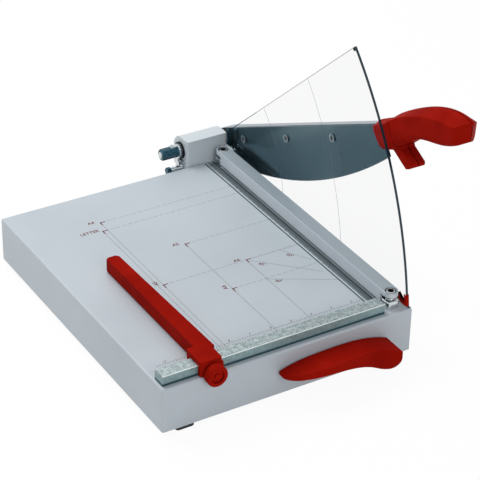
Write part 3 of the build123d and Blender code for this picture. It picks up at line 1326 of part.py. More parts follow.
PIECES = {
    "table_shell": make_table_shell,
    "rubber_feet": make_rubber_feet,
    "foot_screws": make_foot_screws,
    "stop_bar": make_stop_bar,
    "stop_bar_screws": make_stop_bar_screws,
    "scale_strip": make_scale_strip,
    "strip_carrier": make_strip_carrier,
    "side_rail": make_side_rail,
    "lower_knife": make_lower_knife,
    "knife_screws": make_knife_screws,
    "pivot_block": make_pivot_block,
    "block_screws": make_block_screws,
    "back_plate": make_back_plate,
    "pivot_bolt": make_pivot_bolt,
    "disc_springs": make_disc_springs,
    "thrust_washer": make_thrust_washer,
    "pivot_nut": make_pivot_nut,
    "nut_lock_screw": make_nut_lock_screw,
    "spacer_ring": make_spacer_ring,
    "friction_washer": make_friction_washer,
    "lock_plate": make_lock_plate,
    "lock_screw": make_lock_screw,
    "guard_panel": make_guard_panel,
    "guard_shoe": make_guard_shoe,
    "guard_bracket": make_guard_bracket,
    "guard_screws": make_guard_screws,
    "clamp_bar": make_clamp_bar,
    "clamp_posts": make_clamp_posts,
    "post_bushes": make_post_bushes,
    "spring_cups": make_spring_cups,
    "return_springs": make_return_springs,
    "post_yokes": make_post_yokes,
    "post_nuts": make_post_nuts,
    "torque_shaft": make_torque_shaft,
    "cranks": make_cranks,
    "crank_pins": make_crank_pins,
    "crank_keys": make_crank_keys,
    "shaft_hangers": make_shaft_hangers,
    "shaft_bushes": make_shaft_bushes,
    "clamp_lever": make_clamp_lever,
    "lever_pin": make_lever_pin,
    "lever_spacer": make_lever_spacer,
    "back_gauge": make_back_gauge,
    "gauge_shoe": make_gauge_shoe,
    "gauge_knob": make_gauge_knob,
    "knob_stud": make_knob_stud,
    "arm_bar": make_arm_bar,
    "upper_blade": make_upper_blade,
    "blade_screws": make_blade_screws,
    "blade_dowel": make_blade_dowel,
    "arm_bush": make_arm_bush,
    "handle_left": lambda: handle_half(True),
    "handle_right": lambda: handle_half(False),
    "handle_screws": make_handle_screws,
}

for piece_name, make in PIECES.items():
    write(piece_name, make())
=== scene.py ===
"""Looks of the desk lever trimmer: finishes, printed and engraved marks, sockets, floor, light and camera."""

from math import cos, pi, radians, sin

import bmesh
import bpy
from mathutils import Matrix, Vector


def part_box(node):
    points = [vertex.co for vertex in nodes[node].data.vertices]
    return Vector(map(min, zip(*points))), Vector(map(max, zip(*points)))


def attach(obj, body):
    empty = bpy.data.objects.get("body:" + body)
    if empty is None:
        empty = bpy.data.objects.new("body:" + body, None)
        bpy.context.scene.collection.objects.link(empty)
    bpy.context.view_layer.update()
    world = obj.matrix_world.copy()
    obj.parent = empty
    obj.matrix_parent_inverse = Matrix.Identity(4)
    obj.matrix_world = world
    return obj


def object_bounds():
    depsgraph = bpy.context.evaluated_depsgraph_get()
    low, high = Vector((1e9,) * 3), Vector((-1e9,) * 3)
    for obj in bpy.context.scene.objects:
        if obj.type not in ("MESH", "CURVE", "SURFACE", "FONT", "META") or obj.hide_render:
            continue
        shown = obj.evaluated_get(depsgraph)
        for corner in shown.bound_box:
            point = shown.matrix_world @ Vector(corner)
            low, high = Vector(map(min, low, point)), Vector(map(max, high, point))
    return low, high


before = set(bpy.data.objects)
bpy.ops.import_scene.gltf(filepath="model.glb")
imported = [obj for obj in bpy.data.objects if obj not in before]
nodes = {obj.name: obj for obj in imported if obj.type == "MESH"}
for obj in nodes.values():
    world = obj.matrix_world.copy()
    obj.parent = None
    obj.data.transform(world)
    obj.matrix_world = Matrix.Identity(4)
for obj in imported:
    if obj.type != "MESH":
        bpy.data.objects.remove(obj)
cad_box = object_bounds()
MM = 0.001
UP = Vector((0, 0, 1))
LEFT = Vector((-1, 0, 0))
RIGHT = Vector((1, 0, 0))
WHITE = (1.0, 1.0, 1.0, 1.0)


# ---------------------------------------------------------------- how a finish is put together
def linear(hex_colour):
    """sRGB hex to a linear RGBA tuple."""
    parts = [int(hex_colour[i : i + 2], 16) / 255 for i in (0, 2, 4)]
    return tuple(c / 12.92 if c <= 0.04045 else ((c + 0.055) / 1.055) ** 2.4 for c in parts) + (1.0,)


def add_node(tree, kind, inputs=None, **settings):
    """Add a node with its settings. Each input, by name or number, takes a value or another node's output."""
    node = tree.nodes.new("ShaderNode" + kind)
    for key, value in settings.items():
        setattr(node, key, value)
    for key, value in (inputs or {}).items():
        if isinstance(value, bpy.types.NodeSocket):
            tree.links.new(value, node.inputs[key])
        else:
            node.inputs[key].default_value = value
    return node.outputs


def new_finish(name):
    """A material with an empty node tree."""
    material = bpy.data.materials.new(name)
    material.use_nodes = True
    material.node_tree.nodes.clear()
    return material


def grain(tree, size, detail=3.0, fineness=0.5):
    """A cloudy pattern with patches of a width in mm, one for all ways or one each along X, Y and Z."""
    sizes = size if isinstance(size, tuple) else (size, size, size)
    place = add_node(tree, "TexCoord")["Object"]
    patches_per_metre = [1 / (width * MM) for width in sizes]
    spaced = add_node(tree, "Mapping", {"Vector": place, "Scale": patches_per_metre})["Vector"]
    noise = {"Vector": spaced, "Scale": 1.0, "Detail": detail, "Roughness": fineness}
    return add_node(tree, "TexNoise", noise)["Fac"]


def facing(tree):
    """How far a face looks along X, Y and Z."""
    normal = add_node(tree, "NewGeometry")["True Normal"]
    return add_node(tree, "SeparateXYZ", {"Vector": normal})


def lay_over(tree, below, above, amount, start, end, most=1.0):
    """Lay one colour over another as an amount grows from start to end."""
    reach = {"Value": amount, "From Min": start, "From Max": end, "To Max": most}
    share = add_node(tree, "MapRange", reach)["Result"]
    return add_node(tree, "Mix", {0: share, 6: below, 7: above}, data_type="RGBA")[2]


def close(material, look, dullness=None, relief=None):
    """Join a look to the surface.

    Dullness is (pattern, lowest, highest roughness) and relief is (pattern, strength, depth in mm).
    """
    tree = material.node_tree
    if dullness:
        pattern, low, high = dullness
        between = {"Value": pattern, "To Min": low, "To Max": high}
        look["Roughness"] = add_node(tree, "MapRange", between)["Result"]
    if relief:
        pattern, strength, depth = relief
        bump = {"Height": pattern, "Strength": strength, "Distance": depth * MM}
        look["Normal"] = add_node(tree, "Bump", bump)["Normal"]
    face = add_node(tree, "BsdfPrincipled", look)["BSDF"]
    add_node(tree, "OutputMaterial", {"Surface": face})
    return material


# ---------------------------------------------------------------- finishes
# Powder coat, ABS, rubber, acrylic and ink all lie close to an IOR of 1.5, the default, and keep it.
def dimpled_skin(name, light, dark, roughness, strength):
    """An even dull skin with fine dimples, such as baked powder coat.

    The dimples are 0.7 mm wide. The tone drifts over 110 mm, and handling varies the dullness over 17 mm.
    """
    material = new_finish(name)
    tree = material.node_tree
    drift = grain(tree, 111.1, 2.0)
    handling = grain(tree, 16.67, 4.0)
    dimples = grain(tree, 0.7143, 2.0)
    tone = lay_over(tree, linear(dark), linear(light), drift, 0.3, 0.75)
    look = {"Base Color": tone, "Coat Weight": 0.06, "Coat Roughness": 0.3}
    return close(material, look, (handling, roughness - 0.05, roughness + 0.07), (dimples, strength, 0.06))


def moulded_abs(name, light, dark):
    """Injection-moulded ABS from a spark-eroded mould: a deep colour without a clear highlight.

    The mould's grain is 0.1 mm wide and is drawn at 0.38 mm, so that it shows at all. The colour is rubbed in
    patches of 36 mm and the dullness varies over 11 mm. Corners up to 1.6 mm deep are darkened: painted
    shade.
    """
    material = new_finish(name)
    tree = material.node_tree
    rubbing = grain(tree, 35.71, 4.0)
    handling = grain(tree, 11.11)
    mould_grain = grain(tree, 0.3846, 2.0)
    # Painted shade: ambient occlusion darkens creases, seams and corners up to 1.6 mm deep.
    openness = add_node(tree, "AmbientOcclusion", {"Distance": 1.6 * MM}, samples=8)["AO"]
    crease_shade = linear("240302")
    tone = lay_over(tree, linear(dark), linear(light), rubbing, 0.3, 0.7)
    tone = lay_over(tree, crease_shade, tone, openness, 0.35, 0.8)
    look = {"Base Color": tone, "Specular IOR Level": 0.008}
    return close(material, look, (handling, 0.42, 0.54), (mould_grain, 0.2, 0.03))


def moulded_rubber(name):
    """Moulded black rubber: nearly black and quite matt.

    The mould's grit is 0.2 mm wide and is drawn at 0.45 mm, so that it shows. Dust greys it over 3.3 mm.
    """
    material = new_finish(name)
    tree = material.node_tree
    dust = grain(tree, 3.333, 4.0)
    grit = grain(tree, 0.4545, 2.0)
    tone = lay_over(tree, linear("111417"), linear("1E2226"), dust, 0.3, 0.7)
    look = {"Base Color": tone, "Roughness": 0.75}
    return close(material, look, relief=(grit, 0.4, 0.08))


def worked_metal(name, light, dark, roughness, marks_size, strength=0.2, metallic=1.0):
    """Bare or plated metal: two near tones and a sheen that follow the tool's marks, their size in mm."""
    material = new_finish(name)
    tree = material.node_tree
    marks = grain(tree, marks_size, 4.0, 0.6)
    tone = lay_over(tree, linear(dark), linear(light), marks, 0.3, 0.7)
    look = {"Base Color": tone, "Metallic": metallic}
    return close(material, look, (marks, roughness - 0.05, roughness + 0.1), (marks, strength, 0.04))


def anodised_aluminium(name):
    """Drawn and anodised aluminium: a top painted a darker grey and sides painted paler, as painted shade and
    light, with darker lines along the bar.

    The lines of the die are 0.05 mm apart and are drawn 0.33 mm apart and 20 mm long, so that they show.
    """
    material = new_finish(name)
    tree = material.node_tree
    die_lines = grain(tree, (0.3333, 20.0, 0.3333), 4.0, 0.6)
    top = linear("8F9AA1")
    sides = linear("C9D0D6")
    lined = linear("8F999F")
    # Painted shade and light: faces that look up get a darker grey than the sides.
    tone = lay_over(tree, sides, top, facing(tree)["Z"], 0.5, 0.6)
    tone = lay_over(tree, tone, lined, die_lines, 0.4, 0.7, 0.12)
    look = {"Base Color": tone, "Metallic": 0.2}
    return close(material, look, (die_lines, 0.45, 0.6), (die_lines, 0.05, 0.04))


def spangled_zinc(name, bar):
    """Zinc-plated steel bar: mottled crystals on top, plain sides, a dark foot and a bright front edge.

    The crystals are 1.1 mm wide and gather in clouds of 4.2 mm. The sides are painted darker, a painted
    reflection of dark surroundings. The dark foot is a painted shadow that ends 3.4 mm above the table. The
    bright front edge is a painted glint, 0.3 to 0.9 mm wide, which follows the bar's own box.
    """
    material = new_finish(name)
    tree = material.node_tree
    crystals = grain(tree, 1.111, 5.0, 0.75)
    clouds = grain(tree, 4.167, 3.0, 0.6)
    mottle = add_node(tree, "Mix", {0: 0.3, 2: crystals, 3: clouds})[0]
    place = add_node(tree, "SeparateXYZ", {"Vector": add_node(tree, "TexCoord")["Object"]})
    front = bar[0][1]
    crest = bar[1][2]
    # The foot colour is a painted shadow, and the next one a painted glint on the front top edge.
    foot = linear("33525B")
    painted_glint = linear("E9EFEC")
    top = lay_over(tree, linear("5F6E74"), linear("8C999B"), mottle, 0.38, 0.5)
    top = lay_over(tree, top, linear("C2CBCA"), mottle, 0.5, 0.61)
    # Painted reflection: the sides are darker than the top.
    side = lay_over(tree, linear("768D90"), linear("8CA2A4"), clouds, 0.3, 0.7)
    side = lay_over(tree, foot, side, place["Z"], 2.4 * MM, 3.4 * MM)
    tone = lay_over(tree, side, top, facing(tree)["Z"], 0.4, 0.6)
    edge = lay_over(tree, tone, painted_glint, place["Z"], crest - 0.8 * MM, crest - 0.3 * MM)
    tone = lay_over(tree, edge, tone, place["Y"], front + 0.2 * MM, front + 0.9 * MM)
    look = {"Base Color": tone, "Metallic": 0.6}
    return close(material, look, (crystals, 0.38, 0.55), (crystals, 0.25, 0.05))


def ground_tool_steel(name):
    """Hardened tool steel, ground and oiled: a dark blue-grey shine with fine dark lines along the blade.

    Grinding lines are 0.02 mm apart and are drawn 0.28 mm apart, so that they show. Oil clouds it over 90 mm.
    """
    material = new_finish(name)
    tree = material.node_tree
    grinding = grain(tree, (0.2778, 16.67, 1.042), 5.0, 0.65)
    oil = grain(tree, 90.91)
    lined = linear("34474F")
    tone = lay_over(tree, linear("5A6F77"), linear("6E8288"), oil, 0.3, 0.72)
    tone = lay_over(tree, tone, lined, grinding, 0.35, 0.75, 0.2)
    look = {"Base Color": tone, "Metallic": 1.0, "Specular Tint": linear("BCC4CB")}
    return close(material, look, (grinding, 0.2, 0.23))


def clear_acrylic(name):
    """Cast acrylic sheet: nearly invisible face on, with dark blue-green edges, partly the sheet's tint and
    partly painted shade.

    Wiping leaves its gloss uneven in patches of 25 mm.
    """
    material = new_finish(name)
    tree = material.node_tree
    wiping = grain(tree, 25.0)
    face_on = add_node(tree, "Math", {0: facing(tree)["X"]}, operation="ABSOLUTE")[0]
    # Faces that are not face on are painted dark and opaque: the sheet's tint, with painted shade for the
    # light its edges bend away.
    tone = lay_over(tree, linear("12303C"), linear("3E555E"), face_on, 0.45, 0.85)
    clearing = {"Value": face_on, "From Min": 0.4, "From Max": 0.9, "To Min": 1.0, "To Max": 0.035}
    alpha = add_node(tree, "MapRange", clearing)["Result"]
    look = {"Base Color": tone, "Alpha": alpha, "Specular IOR Level": 0.4}
    return close(material, look, (wiping, 0.03, 0.09))


def scribed_line(name):
    """A line bent into the acrylic: half clear, with frosty patches of 3.3 mm."""
    material = new_finish(name)
    tree = material.node_tree
    frost = grain(tree, 3.333)
    tone = lay_over(tree, linear("2E4A55"), linear("46626C"), frost, 0.3, 0.7)
    return close(material, {"Base Color": tone, "Roughness": 0.3, "Alpha": 0.75})


def flat_colour(name, colour):
    """One flat, dull colour, used for screen-printed or filled-in ink and for painted shade."""
    return close(new_finish(name), {"Base Color": linear(colour), "Roughness": 0.6})


def cover(material, *names):
    """Give the named pieces one finish."""
    for name in names:
        nodes[name].data.materials.clear()
        nodes[name].data.materials.append(material)


# Sheet steel, sprayed with polyester powder and baked: an even, satin light grey with a faint orange peel.
cover(dimpled_skin("powder_coated_steel", "B6BEC4", "AEB6BC", roughness=0.42, strength=0.35), "table_shell")

# A casting under a thicker coat of the same powder: paler and a little smoother.
cover(
    dimpled_skin("powder_coated_casting", "C8CFD3", "BFC7CB", roughness=0.38, strength=0.4),
    "pivot_block",
    "guard_bracket",
)

# A pressed fibre disc: dark brown and matt. Its fibres give a rough skin like a heavy orange peel.
cover(dimpled_skin("pressed_fibre", "3A2C22", "2B2019", roughness=0.8, strength=0.6), "friction_washer")

cover(
    moulded_abs("moulded_red_abs", "991509", "860F06"),
    "handle_left",
    "handle_right",
    "clamp_lever",
    "back_gauge",
    "gauge_knob",
    "guard_shoe",
)
cover(moulded_rubber("moulded_rubber"), "rubber_feet")
cover(spangled_zinc("spangled_zinc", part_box("stop_bar")), "stop_bar")
cover(anodised_aluminium("anodised_aluminium"), "clamp_bar")
cover(ground_tool_steel("ground_tool_steel"), "upper_blade")
cover(clear_acrylic("clear_acrylic"), "guard_panel")

# Flat steel bar, surface-ground lengthwise: bright, with lines drawn 0.42 mm apart for true ones of 0.05 mm.
cover(
    worked_metal("ground_steel_bar", "98A3A9", "7F8B92", roughness=0.3, marks_size=(0.4167, 16.67, 16.67)),
    "arm_bar",
)

# Steel rule, satin-ground crosswise, 0.56 mm between drawn lines: an even, dull grey under its ticks.
cover(
    worked_metal(
        "satin_steel_rule",
        "8B979C",
        "7D8A90",
        roughness=0.5,
        marks_size=(16.67, 0.5556, 16.67),
        strength=0.1,
        metallic=0.5,
    ),
    "scale_strip",
)

# Hardened and ground knife: dark, with lines along its edge drawn 0.42 mm apart.
cover(
    worked_metal(
        "hardened_knife_steel",
        "3C484F",
        "2A3339",
        roughness=0.3,
        marks_size=(0.4167, 16.67, 0.4167),
    ),
    "lower_knife",
)

# Mild steel as it leaves the rolling mill: dull grey, with streaks of 3.3 by 0.4 mm.
cover(
    worked_metal("rolled_mild_steel", "8A9095", "72787D", roughness=0.45, marks_size=(3.333, 0.4167, 0.4167)),
    "strip_carrier",
    "side_rail",
    "back_plate",
    "shaft_hangers",
    "post_yokes",
    "cranks",
    "spacer_ring",
)

# Turned steel with bright zinc plate: nearly white and shiny, with only a faint 2 mm ripple.
cover(
    worked_metal("bright_plated_steel", "D5DADD", "C4CACD", roughness=0.16, marks_size=2.0, strength=0.05),
    "pivot_bolt",
    "thrust_washer",
    "nut_lock_screw",
    "lock_plate",
    "clamp_posts",
    "post_bushes",
    "spring_cups",
    "return_springs",
    "guard_screws",
    "torque_shaft",
    "crank_pins",
    "knob_stud",
    "blade_dowel",
)

# Oil-hardened spring steel: dark grey and satin, with scale in specks of 1.1 mm.
cover(
    worked_metal("spring_steel", "4C5257", "34393D", roughness=0.35, marks_size=1.111),
    "disc_springs",
    "lever_pin",
    "crank_keys",
)

# Turned steel, blued by heat: a smooth blue-green shine that clouds over 1.4 mm.
cover(
    worked_metal("blued_steel", "3F6573", "274552", roughness=0.24, marks_size=1.429),
    "pivot_nut",
    "lock_screw",
)

# Screw steel with black oxide: near black and satin, in specks of 1.1 mm.
cover(
    worked_metal("black_oxide_steel", "3A3F43", "24282B", roughness=0.34, marks_size=1.111),
    "foot_screws",
    "stop_bar_screws",
    "knife_screws",
    "block_screws",
    "handle_screws",
    "post_nuts",
)

# Plain turned screw steel, oiled: a smooth slate grey, with marks of 1.1 mm.
cover(
    worked_metal("oiled_screw_steel", "55666F", "46565F", roughness=0.25, marks_size=1.111),
    "blade_screws",
)

# Sintered bronze: warm brown and a little dull, from pores of 0.1 mm that are drawn at 0.83 mm.
cover(
    worked_metal("sintered_bronze", "A98048", "8A6434", roughness=0.4, marks_size=0.8333),
    "shaft_bushes",
    "arm_bush",
    "lever_spacer",
)

# Turned brass: yellow and fairly shiny, with marks of 1.1 mm.
cover(
    worked_metal("turned_brass", "C9A85A", "A98740", roughness=0.3, marks_size=1.111),
    "gauge_shoe",
)


# ---------------------------------------------------------------- flat pieces
def put_in_scene(name, data):
    """An object of the scene that holds a mesh, a light, a camera or letters."""
    made = bpy.data.objects.new(name, data)
    bpy.context.scene.collection.objects.link(made)
    return made


def flat_mesh(name, points, faces, material):
    """A mesh from points in mm and the numbers of each face's points."""
    mesh = bpy.data.meshes.new(name)
    mesh.from_pydata([[c * MM for c in point] for point in points], [], faces)
    mesh.materials.append(material)
    return mesh


def piece(name, mesh, body):
    """Put a mesh in the scene as a piece of a body."""
    made = put_in_scene(name, mesh)
    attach(made, body)


def strips(name, lines, lift, material):
    """Thin flat lines that lie on the table, each given by its four corners in mm."""
    points = [(x, y, lift) for corners in lines for x, y in corners]
    faces = [range(first, first + 4) for first in range(0, len(points), 4)]
    piece(name, flat_mesh(name, points, faces, material), "bed")


def line_strip(x0, y0, x1, y1, width):
    """Corners of a straight line of ink."""
    side = Vector((y0 - y1, x1 - x0)).normalized() * width / 2
    return [
        (x0 - side.x, y0 - side.y),
        (x1 - side.x, y1 - side.y),
        (x1 + side.x, y1 + side.y),
        (x0 + side.x, y0 + side.y),
    ]


def dashed(x0, y0, x1, y1):
    """Corners of each dash of a dashed line."""
    length = Vector((x1 - x0, y1 - y0)).length
    step = Vector((x1 - x0, y1 - y0)).normalized()
    made = []
    at = 0.0
    while at < length:
        end = min(at + DASH, length)
        ends = (x0 + step.x * at, y0 + step.y * at, x0 + step.x * end, y0 + step.y * end)
        made.append(line_strip(*ends, LINE))
        at += DASH + GAP
    return made


def lettering(name, words, material):
    """Flat letters and figures on the table: (text, x, y, height, turn) in mm and degrees, in one mesh."""
    joined = bmesh.new()
    for text, x, y, height, turn in words:
        curve = bpy.data.curves.new(name, "FONT")
        curve.body = text
        curve.align_x = "CENTER"
        curve.align_y = "CENTER"
        curve.size = height * LETTER_BODY * MM
        curve.resolution_u = 3
        curve.offset = height * LETTER_WEIGHT * MM
        holder = put_in_scene(name, curve)
        flat = bpy.data.meshes.new_from_object(holder)
        place = Matrix.Translation((x * MM, y * MM, INK_LIFT * MM))
        flat.transform(place @ Matrix.Rotation(radians(turn), 4, "Z"))
        joined.from_mesh(flat)
        bpy.data.objects.remove(holder)
        bpy.data.curves.remove(curve)
        bpy.data.meshes.remove(flat)
    mesh = bpy.data.meshes.new(name)
    joined.to_mesh(mesh)
    joined.free()
    mesh.materials.append(material)
    piece(name, mesh, "bed")


def tick_length(step, lengths):
    """A tick's length: that of the first division in which its step falls."""
    return next(length for division, length in lengths if step % division == 0)


# ---------------------------------------------------------------- printed marks on the table
# All in mm. X = 0 is the cutting edge, Y = 0 the stop bar's face and Z = 0 the table's top.
INK_LIFT = 0.06
CORNER_LIFT = 0.08
LETTER_BODY = 1.4           # size of the type for figures of height 1
LETTER_WEIGHT = 0.025       # how much a letter's strokes swell, per height
LINE = 0.45
DASH = 6.0
GAP = 2.0
CORNER_ARM = 6.0
CORNER_WIDTH = 1.4
FORMAT_LETTER = 5.0
NAME_ASIDE = 10.0           # from a corner mark to the middle of a name of two letters
NAME_PER_LETTER = 1.2
NAME_ABOVE = 4.0
TURNED_NAME = (6.0, 6.5)    # the same two distances for a name that stands on end
PORTRAIT = {"A4": (210, 297), "A5": (148, 210), "A6": (105, 148), "LETTER": (216, 279)}
LANDSCAPE = {"A5": (210, 148), "A6": (148, 105)}
RULE_GROOVE = 1.6           # width of the groove at the steel rule's left side, where dashed lines end
RULE_GROOVE_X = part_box("scale_strip")[0][0] / MM - RULE_GROOVE

# Angle to the cutting edge, far end (X, Y) and length of each guide line.
ANGLE_GUIDES = (
    (60, -61.4, 147.5, 40.0),
    (45, -102.0, 145.0, 83.0),
    (30, -107.0, 104.5, 79.0),
)
ANGLE_FIGURE = 4.6
FIGURE_ALONG = 15.0         # from a guide's far end to its figure
FIGURE_ASIDE = 4.0

# Scales, counted from the cutting edge. Ticks are (division, length), the largest division first, and figures
# are (offset in X, offset in Y, height).
INCH = 25.4
INCH_PARTS = 8
CM = 10.0
CM_PARTS = 10
INCH_SPAN = (12, 92)
INCH_Y = 17.6
INCH_FOOT = 0.6             # part of an inch tick in front of its line
INCH_TICKS = ((INCH_PARTS, 2.6), (INCH_PARTS // 2, 1.9), (1, 1.4))
INCH_TICK_WIDTH = 0.65
INCH_FIGURE = (1.6, 4.2, 2.8)
BAR_SPAN = (40, 290)
BAR_Y = 1.0
BAR_TICKS = ((CM_PARTS, 4.5), (CM_PARTS // 2, 3.4), (1, 2.4))
BAR_TICK_WIDTH = 0.2
BAR_FIGURE = (0.0, 6.4, 2.2)


def format_marks():
    """Format lines, solid up and dashed across, with their corner marks and names."""
    lines = []
    corners = []
    names = []
    for name, (width, height) in PORTRAIT.items():
        lines += dashed(-width, height, RULE_GROOVE_X, height)
        lines.append(line_strip(-width, height, -width, BAR_Y, LINE))
        aside = NAME_ASIDE + NAME_PER_LETTER * (len(name) - 2)
        names.append((name, -width - aside, height + NAME_ABOVE, FORMAT_LETTER, 0))
    for name, (width, height) in LANDSCAPE.items():
        lines += dashed(-width, height, RULE_GROOVE_X, height)
        names.append((name, -width - TURNED_NAME[0], height + TURNED_NAME[1], FORMAT_LETTER, 90))
    over = CORNER_WIDTH / 2
    for width, height in [*PORTRAIT.values(), *LANDSCAPE.values()]:
        corners.append(line_strip(-width - over, height, -width + CORNER_ARM, height, CORNER_WIDTH))
        corners.append(line_strip(-width, height + over, -width, height - CORNER_ARM, CORNER_WIDTH))
    return lines, corners, names


def angle_marks():
    """Three short guide lines at an angle to the cutting edge, with their figures."""
    lines = []
    names = []
    for angle, x, y, length in ANGLE_GUIDES:
        along = Vector((cos(radians(angle)), -sin(radians(angle))))
        far = Vector((x, y))
        end = far + along * length
        lines.append(line_strip(x, y, end.x, end.y, LINE))
        at = far + along * FIGURE_ALONG + Vector((along.y, -along.x)) * FIGURE_ASIDE
        names.append((f"{angle}°", at.x, at.y, ANGLE_FIGURE, -angle))
    return lines, names


def bar_scales():
    """Eighths of an inch behind the stop bar and millimetres at its face, counted from the cutting edge."""
    lines = []
    names = []
    for unit, parts, span, y, foot, ticks, width, figure in (
        (INCH, INCH_PARTS, INCH_SPAN, INCH_Y, INCH_FOOT, INCH_TICKS, INCH_TICK_WIDTH, INCH_FIGURE),
        (CM, CM_PARTS, BAR_SPAN, BAR_Y, 0.0, BAR_TICKS, BAR_TICK_WIDTH, BAR_FIGURE),
    ):
        right, up, height = figure
        for step in range(*span):
            x = -step * unit / parts
            lines.append(line_strip(x, y - foot, x, y + tick_length(step, ticks), width))
            if step % parts == 0:
                names.append((str(step // parts), x + right, y + up, height, 0))
    return lines, names


grey_ink = flat_colour("grey_ink", "626C72")
scale_ink = flat_colour("scale_ink", "3A444A")
red_ink = flat_colour("dark_red_ink", "5C1413")
format_lines, format_corners, format_names = format_marks()
angle_lines, angle_names = angle_marks()
scale_lines, scale_names = bar_scales()
strips("printed_lines", format_lines + angle_lines, INK_LIFT, grey_ink)
strips("printed_corners", format_corners, CORNER_LIFT, red_ink)
strips("printed_scale", scale_lines, INK_LIFT, scale_ink)
lettering("format_names", format_names + angle_names, red_ink)
lettering("printed_figures", scale_names, scale_ink)

# ---------------------------------------------------------------- engraved steel rule beside the clamp
# In mm. Lines along the rule are (distance from the rule's left side or the clamp, width).
RULE_TICKS = ((CM_PARTS, 8.6), (2, 7.2), (1, 5.6))
RULE_TICK_WIDTH = 0.55
RULE_TICK_INSET = 0.4       # from the clamp to a tick's end
RULE_FIRST = 2              # from the stop face to the first tick
RULE_LAST_INSET = 4         # from the last tick to the rule's rear end
RULE_FIGURE = (4.0, 1.6)    # distance from the rule's left side, height
RULE_FIRST_FIGURE = 2       # the stop bar leaves no room for the first centimetre's
# Painted highlight: the bright line on the rule's left chamfer.
BEVEL = (1.7, 1.5)
# Painted shade: the dark lines in the groove at the rule's left side and under the clamp.
GROOVE = (0.45, 0.9)
CLAMP_SHADE = (-0.5, 1.7)
BEVEL_LIFT = 0.04
SHADE_LIFT = 0.05
END_INSET = 0.3


def rule_marks():
    """Millimetre ticks from the stop face back, their figures, and the lines that run along the rule: a
    painted highlight on its chamfer, painted shade in its groove and painted shadow under the clamp.
    """
    low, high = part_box("scale_strip")
    left = low[0] / MM
    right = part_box("clamp_bar")[0][0] / MM
    end = right - RULE_TICK_INSET
    ticks = []
    names = []
    for step in range(RULE_FIRST, int(high[1] / MM) - RULE_LAST_INSET):
        ticks.append(line_strip(end - tick_length(step, RULE_TICKS), step, end, step, RULE_TICK_WIDTH))
        if step % CM_PARTS == 0 and step // CM_PARTS >= RULE_FIRST_FIGURE:
            names.append((str(step // CM_PARTS), left + RULE_FIGURE[0], step, RULE_FIGURE[1], 90))
    front = low[1] / MM + END_INSET
    back = high[1] / MM - END_INSET
    bevel, groove, shade = (
        line_strip(side + inset, front, side + inset, back, width)
        for side, (inset, width) in ((left, BEVEL), (left, GROOVE), (right, CLAMP_SHADE))
    )
    return ticks, names, [bevel], [groove, shade]


rule_ticks, rule_names, rule_highlight, rule_shade = rule_marks()
# Blackened engraving for the ticks and figures; the same black is painted shade beside the rule.
engraving_and_shade_black = flat_colour("blackened_engraving_and_painted_shade", "1E2A30")

# Painted highlight: steel coloured almost white, with marks of 2.5 mm, for the glint on the rule's chamfer
# and on the rims of the blade screws.
painted_highlight = worked_metal(
    "painted_highlight_steel",
    "DDE5E9",
    "CBD5DA",
    roughness=0.4,
    marks_size=2.5,
    strength=0.05,
)
strips("strip_ticks", rule_ticks, INK_LIFT, engraving_and_shade_black)
strips("strip_bevel_highlight", rule_highlight, BEVEL_LIFT, painted_highlight)
strips("strip_shade", rule_shade, SHADE_LIFT, engraving_and_shade_black)
lettering("strip_figures", rule_names, engraving_and_shade_black)

# ---------------------------------------------------------------- guard's bent lines
# Centre (Y, Z), radius and the angles of both ends, in mm and degrees.
BENT_LINES = (
    ((376.5, -2.5), 149.0, (173.0, 133.2)),
    ((428.0, -34.0), 325.5, (171.0, 138.0)),
)
BENT_WIDTH = 0.7
BENT_STEPS = 48
BENT_LIFT = 0.04


def bent_lines(name, material):
    """Two fine arcs on the guard's left face."""
    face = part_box("guard_panel")[0][0] / MM - BENT_LIFT
    points = []
    faces = []
    for (y, z), radius, (start, end) in BENT_LINES:
        for step in range(BENT_STEPS + 1):
            angle = radians(start + (end - start) * step / BENT_STEPS)
            if step:
                last = len(points) - 1
                faces.append((last - 1, last, last + 2, last + 1))
            for reach in (radius - BENT_WIDTH / 2, radius + BENT_WIDTH / 2):
                points.append((face, y + reach * cos(angle), z + reach * sin(angle)))
    piece(name, flat_mesh(name, points, faces, material), "bed")


bent_lines("guard_lines", scribed_line("scribed_line"))

# ---------------------------------------------------------------- sockets and rims of the screw heads
HEAD_LIFT = 0.06
RING_SIDES = 40
SAME_LEVEL = 1.0            # ends less than this below the outermost one are heads
RIM_DEPTH = 0.02            # points less than this below an end belong to its rim
POST_SOCKET = 3.8
BLADE_SOCKET = 3.2
GRIP_SOCKET = 4.0
# The post seats are rings of painted shade in the clamp's counterbores.
POST_SEAT = (5.05, 6.1)     # inner and outer radius of the clamp's counterbore round a post
POST_SEAT_DEPTH = 0.4
# The blade rims are rings of painted highlight on the screw heads.
BLADE_RIM = (2.1, 2.9)


def on_head(centre, normal, radius, sides):
    """Corners of a regular polygon that lies just above a head, square to its axis."""
    turn = normal.to_track_quat("Z", "Y")
    angles = [k * 2 * pi / sides for k in range(sides)]
    return [centre + turn @ Vector((radius * cos(a), radius * sin(a), HEAD_LIFT)) for a in angles]


def hex_sockets(name, centres, normal, across, body):
    """Hexagonal sockets: a dark flat hexagon on each head, painted shade for the socket's recess."""
    radius = across / 2 / cos(pi / 6)
    points = [corner for centre in centres for corner in on_head(centre, normal, radius, 6)]
    faces = [range(first, first + 6) for first in range(0, len(points), 6)]
    piece(name, flat_mesh(name, points, faces, painted_recess_shade), body)


